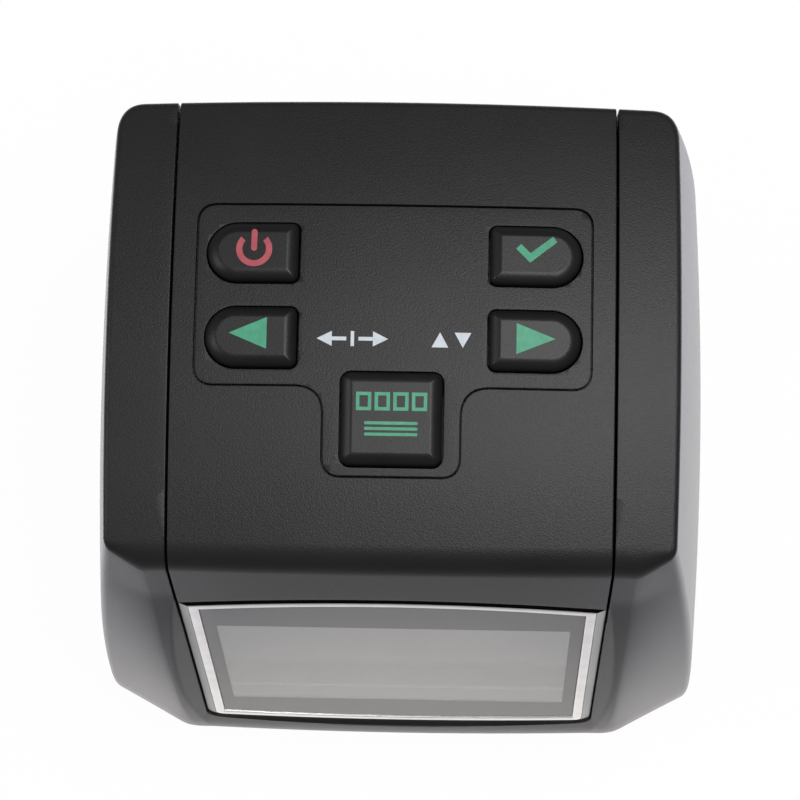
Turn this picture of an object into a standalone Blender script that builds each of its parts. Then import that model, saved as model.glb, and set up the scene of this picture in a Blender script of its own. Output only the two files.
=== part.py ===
"""Desktop film negative scanner: an arched top with five keys, a leaning display and a film slot from side to side.

Metres, +Z up, front towards -Y, origin under the middle of the object on the surface it stands on.
"""

from math import atan2, cos, pi, radians, sin, tan

import bmesh
import bpy
from mathutils import Matrix, Vector

# Overall form
BODY_WIDTH = 0.0932  # at the widest place of the sides
BODY_DEPTH = 0.0864  # from the chin to the back, at their furthest
BODY_HEIGHT = 0.1010  # the arch's highest point, without the keys
WIDEST_HEIGHT = 0.0120  # where sides and back are furthest out
BASE_DRAFT = 0.0006  # how much sides and back draw in again towards the base
TOP_EDGE_HEIGHT = 0.0980
TOP_HALF_WIDTH = 0.0381  # at the top edge
SIDE_BOW = 0.0016  # how much the sides draw in towards the front and the back
SIDE_BOW_Y = 0.0050  # where the sides are furthest out
TOP_BACK_LEAN = 0.0064  # how far the back leans in up to the top edge
ARCH_APEX_Y = 0.0059  # where the top is highest
ARCH_RADIUS = 0.1230  # of the top, front to back
CROWN_RADIUS = 0.4250  # of the top, side to side
LEAN_POWER_SHARE = 1.5  # how the walls' lean grows from the widest place to the top
WALL = 0.0024
SEAM_GAP = 0.0004
FIT_GAP = 0.0003  # between neighbouring pieces
OVERRUN = 0.0100  # by which cutters pass what they cut

# Front
DISPLAY_LEAN = radians(12)
DISPLAY_Z = 0.0495  # height of the display's centre
CHIN_TOP_Z = 0.0160  # where the leaning front turns upright
CHIN_DRAFT = 0.0012
FRONT_BOW = 0.0005  # of the front, seen from above
BACK_BOW = 0.0006
BULGE = 0.0020  # of the casing beside the display
BULGE_TOP_Z = 0.0820
SEAM_X = 0.02945
RAMP_WIDTH = 0.0022  # from the seam to the full bulge
CHAMFER_X = 0.0332  # where the corner chamfer starts
CHAMFER_DEPTH_LOW = 0.0064
CHAMFER_DEPTH_TOP = 0.0022
CHAMFER_SLOPE_Z = 0.0160  # above this height the chamfer gets shallower
BACK_CORNER = 0.0060
CORNER_SOFTENING = 0.0007
OUTER_SOFTENING = 0.0013  # of the corner between the chamfer and the side
FRONT_FILLET = 0.0031  # tangent length of the soft edge between top and front
SIDE_FILLET = 0.0008
FOOT_HEIGHT = 0.0012
BOTTOM_EDGE = 0.0006

# Film slot, through both sides
SLOT_Y = 0.0030
SLOT_Z = 0.0300
SLOT_MARGIN = 0.0122  # from the slot's ends to the front and the back
SLOT_HEIGHT = 0.0080
SLOT_LEAD_IN = 0.0012
SLOT_CORNER = 0.0020

# Keys: places and sizes seen from above
KEY_X = 0.01865
KEY_BACK_Y = 0.0153
KEY_FRONT_Y = 0.0039
KEY_WIDTH = 0.0125
KEY_DEPTH = 0.0084
KEY_INNER_CORNER = 0.0009
SCAN_Y = -0.0066
SCAN_WIDTH = 0.0137
SCAN_DEPTH = 0.0126
SCAN_CORNER = 0.0012
KEY_RISE = 0.0016
KEY_BEVEL = 0.0013
KEY_FLANGE = 0.0008
FLANGE_THICKNESS = 0.0009
KEY_STEM_RADIUS = 0.0018
KEY_STEM_LENGTH = 0.0008
KEY_TRAVEL = 0.0005

# T-shaped inlay round the keys
PANEL_HALF_WIDTH = 0.0260
PANEL_BACK_Y = 0.0219
PANEL_ARM_Y = -0.0023
PANEL_STEM_Y = -0.0141
PANEL_STEM_HALF_WIDTH = 0.00895
PANEL_CORNER = 0.0025
PANEL_INNER_CORNER = 0.0032
PANEL_THICKNESS = 0.0010
PANEL_GROOVE = 0.00028

# Key board and its switches
SWITCH_WIDTH = 0.0060
SWITCH_HEIGHT = 0.0034
SWITCH_CORNER = 0.0005
PLUNGER_RADIUS = 0.0016
PLUNGER_LENGTH = 0.0024
PLUNGER_EXPOSED = 0.0011
BOARD_THICKNESS = 0.0016
KEY_BOARD_WIDTH = 0.0480
KEY_BOARD_MARGIN = 0.0045
BOARD_CORNER = 0.0010
POST_RADIUS = 0.0024
POST_INSET = 0.0032

# Display, in its own leaning plane, measured from the display's centre
BEZEL_SIDE_GAP = 0.0002  # from the seam's middle
BEZEL_TOP = 0.0291
BEZEL_TOP_ARCH = 0.0026
BEZEL_BOTTOM = -0.0280
BEZEL_BOTTOM_BOW = 0.0017
BEZEL_CORNER = 0.0025
BEZEL_THICKNESS = 0.0034
BEZEL_RIM = 0.0012
BEZEL_TOP_RIM = 0.0003
TRIM_WIDTH = 0.00135
TRIM_PROUD = 0.0003
TRIM_DEPTH = 0.0014
WINDOW_THICKNESS = 0.0010
WINDOW_SINK = 0.0003
LCD_HALF_WIDTH = 0.0250
LCD_HALF_HEIGHT = 0.0189
BACKLIGHT_MARGIN = 0.0024
BACKLIGHT_THICKNESS = 0.0026

# Light under the film and camera above it
GUIDE_THICKNESS = 0.0016
GUIDE_SIDE_GAP = 0.0035  # between the guides and the side walls
GATE_HALF_WIDTH = 0.0190
GATE_HALF_DEPTH = 0.0140
RAIL_WIDTH = 0.0024
LIGHT_BOX_WIDTH = 0.0480
LIGHT_BOX_DEPTH = 0.0420
LIGHT_BOX_WALL = 0.0015
DIFFUSER_THICKNESS = 0.0015
LED_SIZE = 0.0050
LED_HEIGHT = 0.0012
HOLDER_FOOT_HALF = 0.0210
HOLDER_TOP_HALF = 0.0100
HOLDER_HEIGHT = 0.0300
HOLDER_WALL = 0.0016
BARREL_RADIUS = 0.0062
BARREL_LENGTH = 0.0160
BARREL_BORE = 0.0046
LENS_EDGE = 0.0008
LENS_BULGE = 0.0010
BARREL_SEAT = 0.0014
SENSOR_BOARD_HALF = 0.0120
SENSOR_HALF = 0.0029
SENSOR_HEIGHT = 0.0010

# Main board and the sockets on it, which open through the back
MAIN_BOARD_WIDTH = 0.0500
MAIN_BOARD_LOW_Z = 0.0440
MAIN_BOARD_HIGH_Z = 0.0820
MAIN_BOARD_INSET = 0.0122  # from the back
USB_INSET = 0.0110  # from the board's edge
USB_WIDTH = 0.0076
USB_HEIGHT = 0.0038
JACK_INSET = 0.0100  # from the board's edge
JACK_RADIUS = 0.0030
JACK_BORE = 0.0018
SOCKET_Z = 0.0690
CARD_Z = 0.0540
CARD_WIDTH = 0.0260
CARD_HEIGHT = 0.0034
CARD_SLOT_HEIGHT = 0.0024
SOCKET_WALL = 0.0005
SOCKET_CAVITY = 0.0040

# Base
BASE_THICKNESS = 0.0020
FOOT_RADIUS = 0.0040
FOOT_SIDE_INSET = 0.0156
FOOT_FRONT_INSET = 0.0142
FOOT_BACK_INSET = 0.0112
FOOT_RECESS = 0.0006
FOOT_EDGE = 0.0004
SCREW_RADIUS = 0.0022
SCREW_HEAD = 0.0012
SCREW_SINK = 0.0003
SCREW_SHANK_RADIUS = 0.0011
SCREW_SHANK_LENGTH = 0.0060
SCREW_INSET = 0.0110
SCREW_RIM = 0.0008  # of the base plate outside the screw's head
BOSS_RADIUS = 0.0042
BOSS_HEIGHT = 0.0060

# Counts of facets
FILLET_STEPS = 4
CORNER_STEPS = 3
ROUND_STEPS = 16
CAP_SHARES = (0.88, 0.70, 0.50, 0.27)
WALL_SHARES = (0.155, 0.27, 0.38, 0.481, 0.62, 0.75, 0.88)
INNER_WALL_SHARES = (0.17, 0.55, 0.78)
KEY_CORNER_STEPS = 4
PLATE_CORNER_STEPS = 2
LENS_STEPS = 2
SETTLE_ROUNDS = 12
SHARP_ANGLE = radians(35)
MERGE = 0.00001
SMALLEST_RADIUS = 0.00005
FRONT_SHARES = (0, 0.25, 0.5, 0.75, 1)
BACK_SHARES = (0.66, 0.44, 0.22, 0)
CHAMFER_SHARES = (0.3, 0.6)
SIDE_SHARES = (0.12, 0.24, 0.36, 0.48, 0.60, 0.72, 0.84)
BEZEL_SHARES = (0, 0.3, 0.6, 0.8)

# Colours
DARK = (0.02, 0.02, 0.021)
KEY_DARK = (0.03, 0.03, 0.03)
BOARD_GREEN = (0.03, 0.18, 0.08)

# Places that follow from the sizes above
TAN_LEAN = tan(DISPLAY_LEAN)
HALF_WIDTH = BODY_WIDTH / 2
HALF_DEPTH = BODY_DEPTH / 2
BEZEL_HALF_WIDTH = SEAM_X - BEZEL_SIDE_GAP
SLOT_DEPTH = BODY_DEPTH - 2 * SLOT_MARGIN
GUIDE_HALF_WIDTH = HALF_WIDTH - WALL - GUIDE_SIDE_GAP
MAIN_BOARD_Y = HALF_DEPTH - MAIN_BOARD_INSET
USB_X = USB_INSET - MAIN_BOARD_WIDTH / 2
JACK_X = MAIN_BOARD_WIDTH / 2 - JACK_INSET
FOOT_X = HALF_WIDTH - FOOT_SIDE_INSET
FOOT_FRONT_Y = FOOT_FRONT_INSET - HALF_DEPTH
FOOT_BACK_Y = HALF_DEPTH - FOOT_BACK_INSET
DISPLAY_Y = FRONT_BOW - HALF_DEPTH + (DISPLAY_Z - CHIN_TOP_Z) * TAN_LEAN
BASE_TOP_Z = FOOT_HEIGHT + BASE_THICKNESS
BOSS_TOP_Z = BASE_TOP_Z + FIT_GAP + BOSS_HEIGHT + OVERRUN
LOWEST_KEY_Z = (
    BODY_HEIGHT
    - WALL
    - FIT_GAP
    - (KEY_X + KEY_WIDTH / 2 + KEY_FLANGE) ** 2 / (2 * CROWN_RADIUS)
    - (KEY_BACK_Y + KEY_DEPTH / 2 + KEY_FLANGE - ARCH_APEX_Y) ** 2 / (2 * ARCH_RADIUS)
    - FLANGE_THICKNESS
)
PLUNGER_TOP_Z = LOWEST_KEY_Z - KEY_STEM_LENGTH - FIT_GAP
SWITCH_TOP_Z = PLUNGER_TOP_Z - PLUNGER_EXPOSED
KEY_BOARD_Z = SWITCH_TOP_Z - SWITCH_HEIGHT - FIT_GAP


def clamp(value, low, high):
    return max(low, min(value, high))


# Form of the body


def lean_share(z):
    """How far the walls have leaned in at this height: 0 at the widest place, 1 at the top edge."""
    rise = (z - WIDEST_HEIGHT) / (TOP_EDGE_HEIGHT - WIDEST_HEIGHT)
    return max(rise, 0) ** LEAN_POWER_SHARE


def draft_share(z):
    return clamp((WIDEST_HEIGHT - z) / WIDEST_HEIGHT, 0, 1) ** 2


def side_x(z):
    return HALF_WIDTH - (HALF_WIDTH - TOP_HALF_WIDTH) * lean_share(z) - BASE_DRAFT * draft_share(z)


def back_y(z):
    return HALF_DEPTH - TOP_BACK_LEAN * lean_share(z) - BASE_DRAFT * draft_share(z)


def side_bow(y):
    """How much the sides have drawn in at this place, seen from above."""
    return SIDE_BOW * ((y - SIDE_BOW_Y) / HALF_DEPTH) ** 2


def front_y(z):
    """The front beside the seam, without the bulge: upright at the chin and leaning above it."""
    if z < CHIN_TOP_Z:
        below = min((CHIN_TOP_Z - z) / CHIN_TOP_Z, 1)
        return DISPLAY_Y + (CHIN_TOP_Z - DISPLAY_Z) * TAN_LEAN + CHIN_DRAFT * below**2
    return DISPLAY_Y + (z - DISPLAY_Z) * TAN_LEAN


def bulge(z):
    """How far the casing stands in front of the display's plane beside it."""
    share = (BULGE_TOP_Z - z) / (BULGE_TOP_Z - CHIN_TOP_Z)
    return BULGE * sin(pi * share) if 0 < share < 1 else 0


def arch_z(x, y, inset=0):
    return BODY_HEIGHT - inset - x**2 / (2 * CROWN_RADIUS) - (y - ARCH_APEX_Y) ** 2 / (2 * ARCH_RADIUS)


def softened(corners):
    """The outline through corners (x, y, cut-back, steps), with each corner rounded over its cut-back."""
    points = []
    for index, (x, y, cut, steps) in enumerate(corners):
        here = Vector((x, y))
        if cut == 0:
            points.append(here)
            continue
        before = Vector(corners[index - 1][:2]) - here
        after = Vector(corners[index + 1][:2]) - here
        start = here + before.normalized() * cut
        end = here + after.normalized() * cut
        for step in range(steps + 1):
            t = step / steps
            points.append(start * (1 - t) ** 2 + here * 2 * t * (1 - t) + end * t**2)
    return points


def body_outline(z, inset):
    """The body seen from above at height z, anticlockwise from the middle of the front."""
    outer_side = side_x(z)
    side = outer_side - inset
    back = back_y(z) - inset
    front = front_y(z) + inset
    proud = 0 if inset else bulge(z)
    rise = clamp((z - CHAMFER_SLOPE_Z) / (TOP_EDGE_HEIGHT - CHAMFER_SLOPE_Z), 0, 1)
    depth = CHAMFER_DEPTH_LOW - (CHAMFER_DEPTH_LOW - CHAMFER_DEPTH_TOP) * rise
    slope = depth / (outer_side - CHAMFER_X)
    chamfer_x = CHAMFER_X - inset * tan(atan2(depth, outer_side - CHAMFER_X) / 2)
    soft = CORNER_SOFTENING / 2 if inset else CORNER_SOFTENING
    corners = []
    for share in FRONT_SHARES:
        corners.append((SEAM_X * share, front - FRONT_BOW * (1 - share**2), 0, 0))
    corners.append((SEAM_X + RAMP_WIDTH, front - proud, soft, CORNER_STEPS))
    corners.append((chamfer_x, front - proud, soft, CORNER_STEPS))
    far_y = front + slope * (side - chamfer_x)
    for share in CHAMFER_SHARES:
        x = chamfer_x + (side - chamfer_x) * share
        corners.append((x, front - proud + (far_y - front + proud) * share, 0, 0))
    outer_soft = OUTER_SOFTENING / 2 if inset else OUTER_SOFTENING
    corners.append((side, far_y, outer_soft, CORNER_STEPS))
    corner_y = back - BACK_BOW - BACK_CORNER + inset
    for share in SIDE_SHARES:
        corners.append((side, far_y + (corner_y - far_y) * share, 0, 0))
    corners.append((side, back - BACK_BOW, BACK_CORNER - inset, 2 * CORNER_STEPS))
    for share in BACK_SHARES:
        corners.append((side * share, back - BACK_BOW * share**2, 0, 0))
    right = softened(corners)
    for point in right:
        share = clamp((point.x - CHAMFER_X) / (outer_side - CHAMFER_X), 0, 1)
        point.x -= share * side_bow(point.y)
    left = [Vector((-point.x, point.y)) for point in reversed(right[1:-1])]
    return right + left


def outline_point(index, z, inset):
    point = body_outline(z, inset)[index]
    return Vector((point.x, point.y, z))


def body_rings(inset, wall_shares, low_z, rounded):
    """Rings of the body's surface from the bottom to the middle of the top."""
    count = len(body_outline(low_z, inset))
    corners, starts, ends = [], [], []
    for index in range(count):
        point = outline_point(index, TOP_EDGE_HEIGHT, inset)
        for _ in range(SETTLE_ROUNDS):
            point = outline_point(index, arch_z(point.x, point.y, inset), inset)
        corners.append(point)
    for index, point in enumerate(corners):
        along = corners[(index + 1) % count] - corners[index - 1]
        side = side_x(point.z) - inset
        facing = clamp((side - abs(point.x)) / (side - CHAMFER_X), 0, 1) if point.y < 0 else 0
        outward = Vector((along.y, -along.x, 0)).normalized() * (1 - facing)
        outward = (outward - Vector((0, facing, 0))).normalized()
        length = (SIDE_FILLET + (FRONT_FILLET - SIDE_FILLET) * facing) if rounded else 0
        starts.append(outline_point(index, point.z - length, inset))
        end = point - outward * length
        ends.append(Vector((end.x, end.y, arch_z(end.x, end.y, inset))))
    rings = []
    for share in wall_shares:
        heights = [low_z + (start.z - low_z) * share for start in starts]
        rings.append([outline_point(index, z, inset) for index, z in enumerate(heights)])
    steps = FILLET_STEPS if rounded else 0
    for step in range(steps + 1):
        t = step / steps if steps else 1
        rings.append(
            [
                start * (1 - t) ** 2 + corner * 2 * t * (1 - t) + end * t**2
                for start, corner, end in zip(starts, corners, ends)
            ]
        )
    for share in CAP_SHARES:
        ring = []
        for end in ends:
            x = end.x * share
            y = ARCH_APEX_Y + (end.y - ARCH_APEX_Y) * share
            ring.append(Vector((x, y, arch_z(x, y, inset))))
        rings.append(ring)
    return rings


def outer_rings():
    low = FOOT_HEIGHT + BOTTOM_EDGE
    bottom = [Vector((p.x, p.y, FOOT_HEIGHT)) for p in body_outline(low, BOTTOM_EDGE)]
    lip = [Vector((p.x, p.y, low)) for p in body_outline(low, 0)]
    return [bottom, lip] + body_rings(0, WALL_SHARES, low, True)


def inner_rings(inset):
    low = -OVERRUN
    floor = [Vector((p.x, p.y, low)) for p in body_outline(low, inset)]
    return [floor] + body_rings(inset, INNER_WALL_SHARES, 0, False)


# Blender helpers


def new_collection(name):
    found = bpy.data.collections.get(name)
    if found is None:
        found = bpy.data.collections.new(name)
    if name not in bpy.context.scene.collection.children:
        bpy.context.scene.collection.children.link(found)
    return found


def new_object(name, bm, group):
    bmesh.ops.recalc_face_normals(bm, faces=bm.faces)
    mesh = bpy.data.meshes.new(name)
    bm.to_mesh(mesh)
    bm.free()
    mesh.shade_smooth()
    mesh.set_sharp_from_angle(angle=SHARP_ANGLE)
    obj = bpy.data.objects.new(name, mesh)
    group.objects.link(obj)
    if group is cutters:
        obj.hide_render = True
        obj.display_type = "WIRE"
    return obj


def loft(name, rings, group, pole=None, looped=False):
    """A solid through rings of equally many points, closed by flat caps, by a pole or into a loop."""
    bm = bmesh.new()
    rows = [[bm.verts.new(point) for point in ring] for ring in rings]
    count = len(rings[0])
    pairs = list(zip(rows, rows[1:]))
    if looped:
        pairs.append((rows[-1], rows[0]))
    for low, high in pairs:
        for index in range(count):
            after = (index + 1) % count
            bm.faces.new((low[index], low[after], high[after], high[index]))
    if not looped:
        bm.faces.new(reversed(rows[0]))
        if pole is None:
            bm.faces.new(rows[-1])
        else:
            tip = bm.verts.new(pole)
            for index in range(count):
                bm.faces.new((rows[-1][index], rows[-1][(index + 1) % count], tip))
    return new_object(name, bm, group)


def level(points, z):
    return [Vector((point[0], point[1], z)) for point in points]


def prism(name, points, low, high, group):
    """An outline, filled at the height low and extruded up to high."""
    bm = bmesh.new()
    outline = bm.faces.new([bm.verts.new(point) for point in level(points, low)])
    grown = bmesh.ops.extrude_face_region(bm, geom=[outline])
    moved = [item for item in grown["geom"] if isinstance(item, bmesh.types.BMVert)]
    bmesh.ops.translate(bm, vec=(0, 0, high - low), verts=moved)
    return new_object(name, bm, group)


def pyramid(name, half_low, half_high, centre, low, high, group):
    """A square block that narrows from half_low at the height low to half_high at the height high."""
    bm = bmesh.new()
    corner = 1 / cos(pi / 4)
    bmesh.ops.create_cone(
        bm,
        cap_ends=True,
        segments=4,
        radius1=half_low * corner,
        radius2=half_high * corner,
        depth=high - low,
    )
    bmesh.ops.rotate(bm, matrix=Matrix.Rotation(pi / 4, 3, "Z"), verts=bm.verts)
    bmesh.ops.translate(bm, vec=(*centre, (low + high) / 2), verts=bm.verts)
    return new_object(name, bm, group)


def box(name, low, high, group):
    bm = bmesh.new()
    bmesh.ops.create_cube(bm, size=1)
    sizes = [b - a for a, b in zip(low, high)]
    middle = [(a + b) / 2 for a, b in zip(low, high)]
    bmesh.ops.scale(bm, vec=sizes, verts=bm.verts)
    bmesh.ops.translate(bm, vec=middle, verts=bm.verts)
    return new_object(name, bm, group)


def centred(obj, origin):
    """Moves an object's origin to a point of the world, with its shape left in place."""
    obj.data.transform(Matrix.Translation(-origin))
    obj.location = origin
    return obj


def cylinder(name, radius, low, high, group, axis="Z"):
    """A round bar from the point low to the point high, along the named axis."""
    bm = bmesh.new()
    start, end = Vector(low), Vector(high)
    bmesh.ops.create_cone(
        bm,
        cap_ends=True,
        segments=ROUND_STEPS,
        radius1=radius,
        radius2=radius,
        depth=(end - start).length,
    )
    turn = Matrix.Rotation(pi / 2, 3, "X") if axis == "Y" else Matrix.Identity(3)
    bmesh.ops.rotate(bm, matrix=turn, verts=bm.verts)
    bmesh.ops.translate(bm, vec=(start + end) / 2, verts=bm.verts)
    return new_object(name, bm, group)


def turned(name, profile, centre, group):
    """A round piece turned about Z from (radius, height) points that run down its outer side."""
    mesh = bpy.data.meshes.new(name)
    edges = [(index, index + 1) for index in range(len(profile) - 1)]
    if profile[0][0] > 0:
        edges.append((len(profile) - 1, 0))
    mesh.from_pydata([(radius, 0, height) for radius, height in profile], edges, [])
    obj = bpy.data.objects.new(name, mesh)
    group.objects.link(obj)
    obj.location = centre
    screw = obj.modifiers.new("turn", "SCREW")
    screw.steps = screw.render_steps = ROUND_STEPS
    screw.use_merge_vertices = True
    screw.merge_threshold = MERGE
    screw.use_smooth_shade = True
    return obj


def boolean(obj, cutter, operation="DIFFERENCE"):
    modifier = obj.modifiers.new(operation.lower() + " " + cutter.name, "BOOLEAN")
    modifier.operation = operation
    modifier.object = cutter
    modifier.solver = "EXACT"


def gathered(name, pieces):
    """One helper that holds several separate shapes, so that they are cut or joined in one step."""
    bm = bmesh.new()
    for piece in pieces:
        bm.from_mesh(piece.data)
        bpy.data.objects.remove(piece)
    return new_object(name, bm, cutters)


def rounded_rectangle(centre, half_x, half_y, radii, grow=0):
    """Corner radii run anticlockwise from the corner at high x and low y."""
    points = []
    steps = PLATE_CORNER_STEPS if len(set(radii)) == 1 else KEY_CORNER_STEPS
    signs = ((1, -1), (1, 1), (-1, 1), (-1, -1))
    for turn, ((sign_x, sign_y), radius) in enumerate(zip(signs, radii)):
        arc = max(radius + grow, SMALLEST_RADIUS)
        x = centre[0] + sign_x * (half_x + grow - arc)
        y = centre[1] + sign_y * (half_y + grow - arc)
        for step in range(steps + 1):
            angle = (turn - 1 + step / steps) * pi / 2
            points.append((x + arc * cos(angle), y + arc * sin(angle)))
    return points


def material(name, colour, roughness, metallic=0, alpha=1):
    made = bpy.data.materials.new(name)
    made.use_nodes = True
    shader = made.node_tree.nodes["Principled BSDF"]
    shader.inputs["Base Color"].default_value = (*colour, 1)
    shader.inputs["Roughness"].default_value = roughness
    shader.inputs["Metallic"].default_value = metallic
    shader.inputs["Alpha"].default_value = alpha
    return made


def paint(obj, name, colour, roughness, metallic=0, alpha=1):
    obj.data.materials.append(material(name, colour, roughness, metallic, alpha))
    return obj


# Casings


def make_casings():
    middle = (0, ARCH_APEX_Y, BODY_HEIGHT)
    hollow = loft("hollow", inner_rings(WALL), cutters, (0, ARCH_APEX_Y, BODY_HEIGHT - WALL))
    reach = HALF_DEPTH + OVERRUN
    top = BODY_HEIGHT + OVERRUN
    strip_half = SEAM_X + SEAM_GAP / 2
    display_top_z = DISPLAY_Z + BEZEL_TOP * cos(DISPLAY_LEAN)

    casing = paint(loft("outer_casing", outer_rings(), parts, middle), "casing_black", DARK, 0.45)
    boolean(casing, hollow)
    chin_back = DISPLAY_Y + OVERRUN / 2
    profile = (
        (chin_back, -reach),
        (reach, -reach),
        (reach, top),
        (-reach, top),
        (-reach, display_top_z),
        (chin_back, display_top_z),
    )
    sides = [[Vector((x, y, z)) for y, z in profile] for x in (-strip_half, strip_half)]
    boolean(casing, loft("strip", sides, cutters))
    opening = bezel_outline(-FIT_GAP, -FIT_GAP - OVERRUN)
    boolean(casing, leaned(prism("display_cut", opening, -OVERRUN, OVERRUN, cutters)))
    cut_slot(casing)
    bosses, drills = [], []
    bore = SCREW_SHANK_RADIUS + FIT_GAP
    low = BASE_TOP_Z + FIT_GAP
    for name, (x, y) in screw_places().items():
        bosses.append(cylinder("boss", BOSS_RADIUS, (x, y, low), (x, y, low + BOSS_HEIGHT), cutters))
        drills.append(cylinder("drill", bore, (x, y, -OVERRUN), (x, y, BOSS_TOP_Z), cutters))
    boolean(casing, gathered("bosses", bosses), "UNION")
    boolean(casing, gathered("drills", drills))

    cover = paint(loft("top_cover", outer_rings(), parts, middle), "cover_black", DARK, 0.45)
    boolean(cover, hollow)
    cover_half = SEAM_X - SEAM_GAP / 2
    slab = box("slab", (-cover_half, -reach, -reach), (cover_half, reach, top), cutters)
    boolean(cover, slab, "INTERSECT")
    below = bezel_outline(-FIT_GAP, -FIT_GAP, drop=HALF_DEPTH, widen=OVERRUN)
    boolean(cover, leaned(prism("front_cut", below, -OVERRUN - WALL, OVERRUN, cutters)))
    posts = []
    for x, y in post_places():
        top_z = arch_z(x, y) - WALL / 2
        posts.append(cylinder("post", POST_RADIUS, (x, y, KEY_BOARD_Z + FIT_GAP), (x, y, top_z), cutters))
    start = MAIN_BOARD_Y + BOARD_THICKNESS + FIT_GAP
    for x, z in standoff_places():
        end = (x, back_y(z) - WALL / 2, z)
        posts.append(cylinder("standoff", POST_RADIUS, (x, start, z), end, cutters, "Y"))
    boolean(cover, gathered("posts", posts), "UNION")
    return cover


def cut_slot(casing):
    """The film slot runs through both sides, with a flared mouth on each."""
    def ring(x, grow):
        outline = rounded_rectangle((SLOT_Y, SLOT_Z), SLOT_DEPTH / 2, SLOT_HEIGHT / 2, (SLOT_CORNER,) * 4, grow)
        return [Vector((x, y, z)) for y, z in outline]

    mouth = side_x(SLOT_Z)
    far = mouth + SLOT_LEAD_IN
    near = mouth - SLOT_LEAD_IN
    rings = [ring(-far, SLOT_LEAD_IN * 2), ring(-near, 0), ring(near, 0), ring(far, SLOT_LEAD_IN * 2)]
    boolean(casing, loft("slot", rings, cutters))


def screw_places():
    """Base screws, each beside the side wall that its boss grows from."""
    x = side_x(BASE_TOP_Z) - WALL - 2 * FIT_GAP - SCREW_RADIUS - SCREW_RIM
    back = FOOT_BACK_Y - SCREW_INSET
    front = FOOT_FRONT_Y + SCREW_INSET
    front_x, back_x = x - side_bow(front), x - side_bow(back)
    return {
        "front_left": (-front_x, front),
        "front_right": (front_x, front),
        "back_left": (-back_x, back),
        "back_right": (back_x, back),
    }


def post_places():
    """Posts under the top that carry the key board, clear of the keys' flanges."""
    x = KEY_BOARD_WIDTH / 2 - POST_INSET
    clear = KEY_DEPTH / 2 + KEY_FLANGE + POST_RADIUS + FIT_GAP
    front = KEY_FRONT_Y - clear - KEY_FLANGE
    back = KEY_BACK_Y + clear + KEY_FLANGE
    return ((-x, front), (x, front), (-x, back), (x, back))


def standoff_places():
    """Standoffs on the back wall that carry the main board."""
    x = MAIN_BOARD_WIDTH / 2 - POST_INSET
    low = MAIN_BOARD_LOW_Z + POST_INSET
    high = MAIN_BOARD_HIGH_Z - POST_INSET
    return ((-x, low), (x, low), (-x, high), (x, high))


# Keys


def key_corners(side):
    """Corner radii of a D-shaped key whose round end points to side 1 or -1."""
    round_end = KEY_DEPTH / 2 - FIT_GAP / 2
    inner = KEY_INNER_CORNER
    if side > 0:
        return (round_end, round_end, inner, inner)
    return (inner, inner, round_end, round_end)


def key_table():
    """Name, centre, half width, half depth and corner radii of each key."""
    square = (SCAN_CORNER,) * 4
    half_x, half_y = KEY_WIDTH / 2, KEY_DEPTH / 2
    return (
        ("power", (-KEY_X, KEY_BACK_Y), half_x, half_y, key_corners(-1)),
        ("ok", (KEY_X, KEY_BACK_Y), half_x, half_y, key_corners(1)),
        ("left", (-KEY_X, KEY_FRONT_Y), half_x, half_y, key_corners(-1)),
        ("right", (KEY_X, KEY_FRONT_Y), half_x, half_y, key_corners(1)),
        ("scan", (0, SCAN_Y), SCAN_WIDTH / 2, SCAN_DEPTH / 2, square),
    )


def flange_top(centre, half_x, half_y):
    """Just under the lowest place of the cover's inner face above the flange."""
    x = abs(centre[0]) + half_x + KEY_FLANGE
    ys = (centre[1] - half_y - KEY_FLANGE, centre[1] + half_y + KEY_FLANGE)
    return min(arch_z(x, y, WALL) for y in ys) - FIT_GAP


def make_key(name, centre, half_x, half_y, radii):
    top_z = arch_z(centre[0], centre[1]) + KEY_RISE
    slope_x = -centre[0] / CROWN_RADIUS
    slope_y = -(centre[1] - ARCH_APEX_Y) / ARCH_RADIUS

    def ring(grow, drop):
        points = rounded_rectangle(centre, half_x, half_y, radii, grow)
        return [
            Vector((x, y, top_z - drop + slope_x * (x - centre[0]) + slope_y * (y - centre[1])))
            for x, y in points
        ]

    high = flange_top(centre, half_x, half_y)
    low = high - FLANGE_THICKNESS
    flange = rounded_rectangle(centre, half_x, half_y, radii, KEY_FLANGE)
    waist = rounded_rectangle(centre, half_x, half_y, radii)
    rings = [level(flange, low), level(flange, high), level(waist, high)]
    for step in range(FILLET_STEPS + 1):
        angle = step / FILLET_STEPS * pi / 2
        rings.append(ring(-KEY_BEVEL * (1 - cos(angle)), KEY_BEVEL * (1 - sin(angle))))
    key = centred(loft(name + "_button", rings, parts), Vector((*centre, high)))
    paint(key, name + "_rubber", KEY_DARK, 0.55)
    start = (centre[0], centre[1], PLUNGER_TOP_Z + FIT_GAP)
    stem = cylinder(name + "_stem", KEY_STEM_RADIUS, start, (centre[0], centre[1], high - FIT_GAP), cutters)
    boolean(key, stem, "UNION")


def make_switch(name, centre):
    low = KEY_BOARD_Z + FIT_GAP
    half = SWITCH_WIDTH / 2
    outline = rounded_rectangle(centre, half, half, (SWITCH_CORNER,) * 4)
    body = paint(prism(name + "_switch", outline, low, SWITCH_TOP_Z, parts), name + "_housing", DARK, 0.5)
    well = PLUNGER_RADIUS + FIT_GAP
    floor = PLUNGER_TOP_Z - PLUNGER_LENGTH - KEY_TRAVEL - FIT_GAP
    boolean(body, cylinder(name + "_well", well, (*centre, floor), (*centre, PLUNGER_TOP_Z), cutters))
    profile = ((0, 0), (PLUNGER_RADIUS, 0), (PLUNGER_RADIUS, -PLUNGER_LENGTH), (0, -PLUNGER_LENGTH))
    plunger = turned(name + "_plunger", profile, (*centre, PLUNGER_TOP_Z), parts)
    paint(plunger, name + "_plunger_white", (0.8, 0.8, 0.78), 0.4)


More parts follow.
